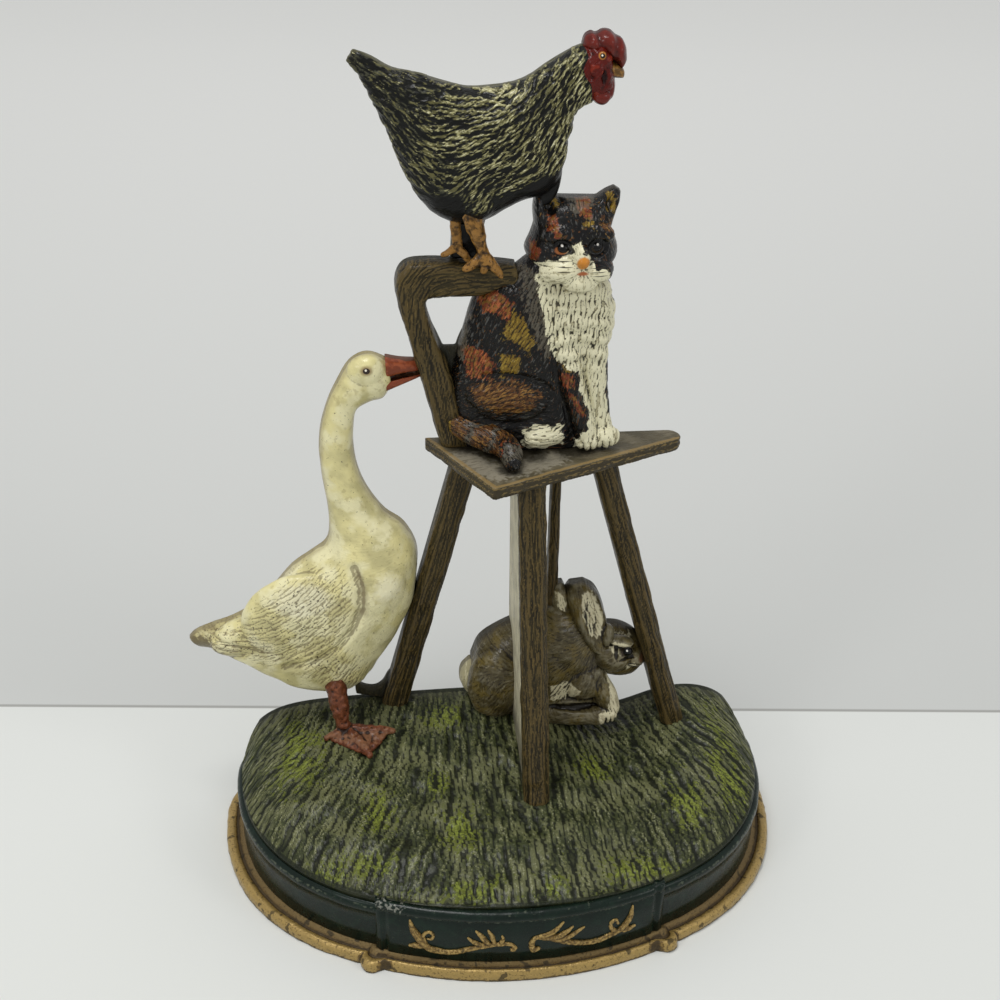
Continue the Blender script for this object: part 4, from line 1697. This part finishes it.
@dataclass
class Goose:
    """Ivory goose that reaches for the stool's back."""

    base: Base
    foot_x: float = -62.0
    foot_y: float = -21.0

    @property
    def anchor(self) -> float:
        """Height that the outlines are drawn from."""
        return self.base.ground_at(self.foot_x, self.foot_y) - 2.0

    def body(self) -> None:
        """Build the body with neck, head, wing and tail."""
        clay = Clay()
        clay.slab(((-42.6, 160.2, -41.6, 148.3, 6), (-50.2, 163, -44.5, 144.3, 8.5),
            (-56.8, 159.8, -48.5, 143.3, 8.5), (-61.8, 151.4, -54.3, 140.7, 8),
            (-65.4, 143.5, -55.8, 133.3, 7.6), (-68.4, 132.8, -56.1, 124.9, 7.6),
            (-69.2, 122.2, -54.8, 115.4, 8.4), (-68.2, 110, -51.3, 106.1, 9.4), (-67, 100.2, -45, 96.5, 11),
            (-66.6, 90.3, -37.4, 89.9, 14), (-68, 83.5, -32.4, 78.2, 17), (-73.7, 78.7, -33.3, 63.3, 19),
            (-81.8, 72.6, -36, 51.4, 20), (-90.6, 61.8, -45.2, 32.6, 19.5), (-99.3, 53.6, -58, 14.6, 17.5),
            (-106.7, 49.2, -77, 14.2, 14.5), (-114.9, 46.2, -96.1, 24.8, 10.5),
            (-121.4, 43.2, -110.3, 34.1, 7), (-124.4, 40, -119.6, 35.4, 4)), 0.86, self.anchor)
        clay.ball(-79.5, -13.2, 100.5, (23.5, 6.6, 18), 22)
        clay.ball(-101.0, -8.6, 88.5, (15, 5.4, 8), 18)
        clay.ball(-49.0, -11.5, 110.0, (11, 8.5, 15.5), -24)
        clay.ball(-50.8, -4.6, 200.6, (7.2, 5, 6.6), -10)
        skin = clay.fuse(0.5, 4)
        flat = skin.front()
        crease = line_distance(flat, ((-57.6, 122.6), (-55.2, 115), (-55.4, 106), (-58.6, 97), (-64.6, 88),
            (-74, 81), (-86, 77.6)))
        skin.push(-1.0 * ramp(-crease, -3.2, -0.6))
        skin.push(-0.5 * near_line(flat, ((-95, 84), (-108, 87.4), (-118, 90.5)), 1.6, 0.3))
        brush = Brush(((-88, 104, -0.85, -0.5), (-100, 92, -0.95, -0.2), (-116, 88, -0.98, 0.1),
            (-78, 84, -0.8, -0.55), (-64, 74, -0.5, -0.85), (-68, 100, -0.7, -0.7), (-60, 62, -0.45, -0.9),
            (-45, 100, -0.1, -1), (-46, 80, -0.4, -0.9), (-62, 150, 0, 1)), 6.0, 0.9, 1.5, 0.1, 81)
        ridge, _ = skin.groom(brush, flat)
        wing = patch(flat, ((-58, 119), (-63, 123), (-78, 121), (-92, 112), (-104, 98), (-122, 92),
            (-118, 82), (-104, 80), (-86, 78), (-68, 66), (-52, 58), (-50, 70), (-62, 88), (-57, 104)), 4.0)
        front = line_distance(flat, ((-56.6, 121), (-54, 112), (-54.4, 104)))
        skin.push(0.2 * wing * ridge + uneven(skin.spots, 6.0, 84, 0.7))
        skin.read_relief()
        lower = ramp(-(flat[:, 1] + 0.45 * flat[:, 0]), -62.0, -34.0)
        rump = near_oval(flat, (-121, 78), (15, 5), 1.5, 0.5)
        skin.masks["quill"] = np.maximum(wing * (0.12 + 0.5 * lower), 0.75 * rump) * (1.0 - 0.4 * ridge)
        crown = np.linalg.norm((flat - (-78, 110)) / (16, 9), axis=1)
        skin.masks["pale"] = np.maximum(ramp(-crown, -1.2, -0.4),
            near_oval(flat, (-44.5, 114), (1, 1), 12.0, 1.0))
        skin.masks["wing"] = wing
        skin.masks["crease"] = 0.9 * ramp(-front, -4.4, -0.4)
        tail = np.linalg.norm((flat - (-122.5, 80.5)) / (13, 7.5), axis=1)
        low = near_line(flat, ((-117, 79.5), (-104, 75.5), (-92, 67.5), (-76, 58.5)), 5.0, 0.5)
        skin.masks["brown"] = np.clip(ramp(-tail, -1.7, -0.4) * 0.8 + 0.5 * low, 0, 1)
        skin.place("goose_body", "ivory", IVORY)

    def bill(self) -> None:
        """Build the open bill."""
        clay = Clay()
        clay.slab(((-43.8, 161.5, -43.4, 153, 7), (-38.4, 160.3, -38, 154.6, 6),
            (-32.6, 159.8, -32.2, 155, 4.6), (-29.6, 159, -29.6, 155.4, 3.4)), 0.7, self.anchor)
        clay.slab(((-43.8, 153.8, -43.4, 147.8, 6.6), (-38.4, 154.2, -37.8, 150, 5.4),
            (-33, 154.8, -32.6, 152, 4.2), (-29.6, 155.2, -29.6, 153.2, 3.2)), 0.7, self.anchor)
        skin = clay.fuse(0.28, 3)
        flat = skin.front()
        slit = line_distance(flat, ((-42.6, self.anchor + 153.4), (-38.0, self.anchor + 154.2),
            (-30.0, self.anchor + 155.1)))
        skin.push(-0.8 * ramp(-slit, -1.1, -0.2))
        skin.read_relief()
        skin.masks["slit"] = ramp(-slit, -1.3, -0.3)
        skin.place("goose_beak", "brick_red", BILL)

    def leg(self) -> None:
        """Build the leg and its webbed foot."""
        x, y = self.foot_x, self.foot_y
        ground = self.base.ground_at(x, y)
        clay = Clay()
        clay.limb(((x - 4.6, y + 6, ground + 20, 4.2), (x - 3.4, y + 3, ground + 13, 3.8),
            (x - 2.4, y + 1.5, ground + 6, 3.0), (x - 1.2, y + 1, ground + 2.0, 2.9)))
        tips = []
        for across, deep in ((-9, -2), (8, -12.5), (17.5, -1)):
            tip_z = self.base.ground_at(x + across, y + deep)
            tips.append((x + across, y + deep, tip_z))
            clay.limb(((x - 1, y + 1, ground + 1.6, 2.5),
                (x + across * 0.5, y + deep * 0.5, (ground + tip_z) / 2 + 1.8, 2.1),
                (x + across, y + deep, tip_z + 1.0, 1.3)))
        for first, second in zip(tips, tips[1:]):
            for share in np.arange(1, 10) / 10:
                spot = [a + (b - a) * share for a, b in zip(first, second)]
                clay.limb(((x, y + 0.5, ground + 1.0, 1.8),
                    ((x + spot[0]) / 2, (y + spot[1]) / 2, (ground + spot[2]) / 2 + 1.2, 1.5),
                    (x + (spot[0] - x) * 0.9, y + (spot[1] - y) * 0.9, spot[2] + 0.9, 1.2)))
        skin = clay.fuse(0.36, 2)
        skin.push(uneven(skin.spots, 1.7, 88, 0.9))
        skin.spots[:, 1] = np.minimum(skin.spots[:, 1], -0.3)
        skin.read_relief()
        skin.masks["crest"] = ramp(-np.abs(skin.spots[:, 2] - ground - 2.0), -3.0, 0.0)
        skin.place("goose_leg", "brick_red", BRICK)

    def build(self) -> None:
        """Build the whole goose."""
        self.body()
        self.bill()
        self.leg()


@dataclass
class Rabbit:
    """Brown rabbit that crouches under the stool."""

    base: Base
    place_x: float = 25.0
    place_y: float = -10.0

    @property
    def anchor(self) -> float:
        """Height that the outlines are drawn from."""
        return self.base.ground_at(self.place_x, self.place_y) - 3.0

    def furred(self, clay: Clay, node: str, slot: str, finish: Finish, flow: Rows, seed: int,
            cream: tuple[Rows, ...] = (), dents: Rows = (), voxel: float = 0.42) -> None:
        """Fuse a part, dent it, comb short fur into it and paint it.

        Args:
            clay: Lumps of the part.
            node: CAD node that it stands for.
            slot: Material slot of the record.
            finish: Its paint.
            flow: Direction of the fur.
            seed: Choice of strokes.
            cream: Outlines painted cream.
            dents: Ovals (x, z, radius across, radius up, depth) pressed in.
            voxel: Fineness of the surface.
        """
        skin = clay.fuse(voxel, 3)
        flat = skin.front()
        for x, z, across, up, depth in dents:
            skin.push(-depth * near_oval(flat, (x, z), (across, up), 1.25, 0.5))
        brush = Brush(flow, 4.0, 0.8, 1.3, 0.1, seed)
        ridge, tone = skin.groom(brush, flat)
        skin.push(0.1 * ridge + uneven(skin.spots, 4.5, seed, 0.8))
        skin.read_relief()
        cover = np.zeros(len(flat))
        jitter = (np.column_stack((mottle(flat, 1.6, seed), mottle(flat, 1.6, seed + 1))) - 0.5) * 0.9
        for outline in cream:
            cover = np.maximum(cover, patch(flat + jitter, outline, 1.0))
        skin.masks["cream"] = cover * (1 - ramp(skin.spots[:, 1], -5.0, -3.0))
        skin.masks["cream_worn"] = cover * (1 - ridge)
        skin.masks["stroke"] = ridge * tone
        skin.place(node, slot, finish)

    def body(self) -> None:
        """Build the crouching body: haunch, shoulder, long foot and forepaw."""
        clay = Clay()
        clay.slab(((-10.9, 28, -10.9, 13, 9), (-7.4, 36.6, -4.5, 4, 14), (0.2, 42.4, 4, -3, 17),
            (13.6, 49, 16, -4, 18), (24.4, 54, 27, -4, 18), (36.6, 45, 38, -3, 16), (45.3, 36, 45, 5, 12)),
            0.8, self.anchor)
        clay.ball(0.0, -10.0, 61.5, (12.5, 10.5, 18), -8)
        clay.ball(21.0, -8.5, 68.0, (14, 9, 17), 10)
        clay.ball(34.4, -12.0, 61.0, (9.6, 8.4, 8.4), 8)
        clay.ball(31.0, -12.0, 53.5, (13, 6.5, 5))
        clay.ball(41.5, -12.5, 56.0, (5, 6, 6.5))
        clay.limb(((16, -14, 47, 4.6), (30, -18, 47.4, 4), (40, -19.5, 48, 3.8), (45.2, -20, 48.2, 3.2)))
        clay.limb(((39, -13, 64, 5.4), (43.5, -15.5, 57.5, 4.8), (46, -17, 50.5, 4.4)))
        flow = ((-6, 62, -0.5, -0.9), (2, 76, -0.8, 0.5), (20, 84, -0.9, 0.3), (16, 60, -0.6, -0.8),
            (34, 62, -0.4, -0.9), (44, 56, 0.4, -0.9), (30, 46, 1, 0.05))
        cream = (((20.6, 63), (27.4, 64.8), (32.8, 61), (30.2, 56.4), (20.6, 55.2)),
            ((43, 69), (50, 68), (51.8, 58), (50.5, 48), (46.5, 49), (44.5, 54), (45.4, 60.5)),
            ((40.5, 50.6), (49, 52), (50.6, 44), (41.5, 43.4)))
        dents = ((12.5, 62, 3, 14, 1), (40.6, 62, 1.4, 5, 0.3), (30, 52.2, 12, 1.5, 0.6),
            (43.6, 47, 0.6, 2.4, 0.7), (45.6, 47.2, 0.6, 2.4, 0.7), (47.4, 47.4, 0.6, 2.4, 0.6))
        self.furred(clay, "rabbit_body", "rabbit_brown", RABBIT_FUR, flow, 91, cream, dents)

    def head(self) -> None:
        """Build the head with its eye, brow and mouth."""
        clay = Clay()
        clay.slab(((37.4, 38, 38, 22, 12), (41, 40.8, 43, 19.4, 15), (46.5, 41.2, 46.6, 18, 16),
            (51.5, 40, 51.5, 17.4, 16), (56.8, 36.6, 55.9, 18.2, 14), (60.2, 32, 59.4, 21.5, 10),
            (61.8, 28.5, 61.2, 25.5, 6)), 0.85, self.anchor)
        clay.ball(46.6, -12.0, 72.6, (8, 7, 6.6), -20)
        clay.ball(55.6, -11.0, 71.6, (5.2, 6, 4), -25)
        clay.ball(49.6, -13.2, 80.6, (5.6, 3.6, 2), -10)
        clay.ball(52.0, -15.2, 76.8, (2.6, 2.2, 2.2))
        cream = (((43.8, 79.6), (46.6, 81.4), (50.6, 81.5), (54.4, 79.4), (54.6, 78.4), (50.8, 79.4),
            (48.6, 78.6), (48.4, 76.4), (45.6, 77.4)),
            ((51.6, 70.6), (55.2, 71.6), (56.4, 68.8), (52.4, 67.8)))
        dents = ((47.4, 77.4, 1, 3, 0.8), (52, 74.2, 4, 0.9, 0.6), (54.8, 70.6, 2.6, 0.6, 0.9))
        flow = ((42, 82, -0.9, 0.3), (47, 72, -0.7, -0.6), (56, 78, 0.6, -0.7))
        self.furred(clay, "rabbit_head", "rabbit_brown", RABBIT_FACE, flow, 93, cream, dents, 0.38)

    def ears(self) -> None:
        """Build both ears, the near one hollow and cream inside."""
        clay = Clay()
        clay.slab(((29, 61.6, 34.6, 62.2, 6), (27.2, 57.5, 39.4, 58.8, 10), (28.6, 50, 43, 50.8, 13),
            (31.4, 43, 45, 42, 15), (37, 35, 45.5, 33, 16)), 0.6, self.anchor)
        clay.ball(43.6, -12.0, 83.0, (3, 4.6, 5), -10)
        cream = (((33.6, 101.2), (35.4, 102.4), (38.4, 101), (40.8, 96.4), (41.8, 90.6), (41.2, 85.2),
            (39.2, 83.4), (36.6, 85.4), (34.4, 90), (33, 96.6)),)
        dents = ((37, 93, 3.8, 9, 1.5),)
        self.furred(clay, "rabbit_ear_near", "rabbit_brown", RABBIT_FUR,
            ((36, 96, 0.3, -1), (40, 88, 0.3, -1)), 95, cream, dents, 0.36)
        clay = Clay()
        clay.slab(((22, 61.8, 26, 62.2, 5), (20.8, 56, 28.6, 56, 8), (22.4, 48, 31.4, 48, 9),
            (28, 40, 35, 38, 10)), 0.7, self.anchor)
        cream = (((23, 101.6), (25.6, 101), (27.4, 94.6), (26.2, 91), (24, 95.4)),)
        self.furred(clay, "rabbit_ear_far", "rabbit_brown", RABBIT_FUR,
            ((26, 98, 0.1, -1), (28, 90, 0.2, -1)), 97, cream, (), 0.36)

    def tail(self) -> None:
        """Build the short tail."""
        clay = Clay()
        clay.slab(((-11.5, 26, -8, 26.4, 5), (-14.8, 22, -5, 23, 8), (-15.4, 16.2, -5, 17, 8.5),
            (-13.2, 10.8, -6, 10.8, 7)), 0.75, self.anchor)
        self.furred(clay, "rabbit_tail", "cream", RABBIT_TAIL, ((-13, 66, -0.3, -1), (-10, 60, 0, -1)), 99,
            (), (), 0.36)

    def build(self) -> None:
        """Build the whole rabbit."""
        self.body()
        self.head()
        self.ears()
        self.tail()


class Tone(Enum):
    """Pale tones of the studio's floor, nearest first."""

    TABLE = tint(225, 227, 223)
    EDGE = tint(168, 168, 164)
    BEYOND = tint(190, 192, 189)
    FAR = tint(254, 255, 252)


@dataclass
class Studio:
    """Pale floor, soft lights and the camera."""

    table_end: float = 49.5        # behind the casting's back, where the floor turns grey
    table_turn: float = 0.0915     # how far that line is turned from the casting's back
    floor_size: float = 6.0
    focal_length: float = 54.0
    sensor_width: float = 36.0
    camera_place: tuple[float, float, float] = (-60, -505, 435)
    yaw: float = 6.8
    pitch: float = 30.0
    roll: float = -1.3

    def floor(self) -> None:
        """Lay the floor: a white table that ends in front of a paler grey."""
        bm = bmesh.new()
        bmesh.ops.create_grid(bm, x_segments=1, y_segments=1, size=self.floor_size)
        mesh = bpy.data.meshes.new("floor")
        bm.to_mesh(mesh)
        bm.free()
        table = PaintTable(Finish("floor", Tone.TABLE.value))
        split = table.nodes.new("ShaderNodeSeparateXYZ")
        table.feed(split.inputs[0], table.position)
        aslant = table.sum("MULTIPLY", split.outputs["X"], math.sin(self.table_turn))
        depth = table.sum("MULTIPLY_ADD", split.outputs["Y"], math.cos(self.table_turn), aslant)
        line = self.table_end * MM + ORIGIN[0] * math.sin(self.table_turn)
        line += ORIGIN[1] * math.cos(self.table_turn)
        far = table.blend("RGBA", table.step(depth, line - 0.5, line + 1.3), Tone.BEYOND.value,
            Tone.FAR.value)
        colour = table.blend("RGBA", table.step(depth, line - 0.0008, line), Tone.TABLE.value,
            Tone.EDGE.value)
        colour = table.blend("RGBA", table.step(depth, line + 0.0008, line + 0.002), colour, far)
        table.feed(table.shader.inputs["Base Color"], colour)
        table.shader.inputs["Roughness"].default_value = 0.9
        table.shader.inputs["Specular IOR Level"].default_value = 0.2
        mesh.materials.append(table.material)
        floor = bpy.data.objects.new("floor", mesh)
        bpy.context.scene.collection.objects.link(floor)

    def lamp(self, name: str, place: tuple[float, float, float], power: float, size: float) -> None:
        """Hang a square soft lamp that faces the casting.

        Args:
            name: Its name.
            place: Where it hangs, in metres.
            power: Its power in watts.
            size: Length of its side, in metres.
        """
        light = bpy.data.lights.new(name, "AREA")
        light.size = size
        light.energy = power
        lamp = bpy.data.objects.new(name, light)
        lamp.location = place
        aim = Vector((0, 0, 0.13)) - Vector(place)
        lamp.rotation_euler = aim.to_track_quat("-Z", "Y").to_euler()
        bpy.context.scene.collection.objects.link(lamp)

    def lights(self) -> None:
        """Light the casting softly from above and from the sides."""
        world = bpy.data.worlds.new("studio")
        world.use_nodes = True
        world.node_tree.nodes["Background"].inputs["Color"].default_value = (1, 1, 1, 1)
        world.node_tree.nodes["Background"].inputs["Strength"].default_value = 0.57
        bpy.context.scene.world = world
        for name, place, power, size in (("overhead", (-0.2, -0.1, 1.25), 5.6, 0.4),
                ("left", (-1, -0.8, 0.9), 2.2, 0.35), ("right", (1, -0.7, 0.8), 1.8, 0.35)):
            self.lamp(name, place, power, size)
        bpy.context.scene.view_settings.view_transform = "Standard"

    def camera(self) -> None:
        """Set the camera at the photograph's viewing angle."""
        yaw, pitch, roll = (math.radians(angle) for angle in (self.yaw, self.pitch, self.roll))
        ahead = Vector((math.sin(yaw), math.cos(yaw), 0.0))
        right = Vector((math.cos(yaw), -math.sin(yaw), 0.0))
        up = Vector((0, 0, 1))
        forward = math.cos(pitch) * ahead - math.sin(pitch) * up
        down = -(math.sin(pitch) * ahead + math.cos(pitch) * up)
        across = math.cos(roll) * right + math.sin(roll) * down
        below = -math.sin(roll) * right + math.cos(roll) * down
        view = bpy.data.cameras.new("view")
        view.lens = self.focal_length
        view.sensor_width = self.sensor_width
        view.clip_start = 0.01
        camera = bpy.data.objects.new("view", view)
        turn = Matrix((across, -below, -forward)).transposed()
        place = Vector(np.array(self.camera_place) * MM + ORIGIN)
        camera.matrix_world = Matrix.Translation(place) @ turn.to_4x4()
        bpy.context.scene.collection.objects.link(camera)
        bpy.context.scene.camera = camera

    def build(self) -> None:
        """Set up the whole studio."""
        self.camera()
        self.floor()
        self.lights()


def main() -> None:
    """Build the studio and the casting."""
    logging.basicConfig(level=logging.INFO, format="%(message)s")
    base = Base()
    for part in (Studio(), base, Stool(base), Cat(), Hen(), Goose(base), Rabbit(base)):
        part.build()
        LOG.info("%s done", type(part).__name__)


if __name__ == "__main__":
    main()
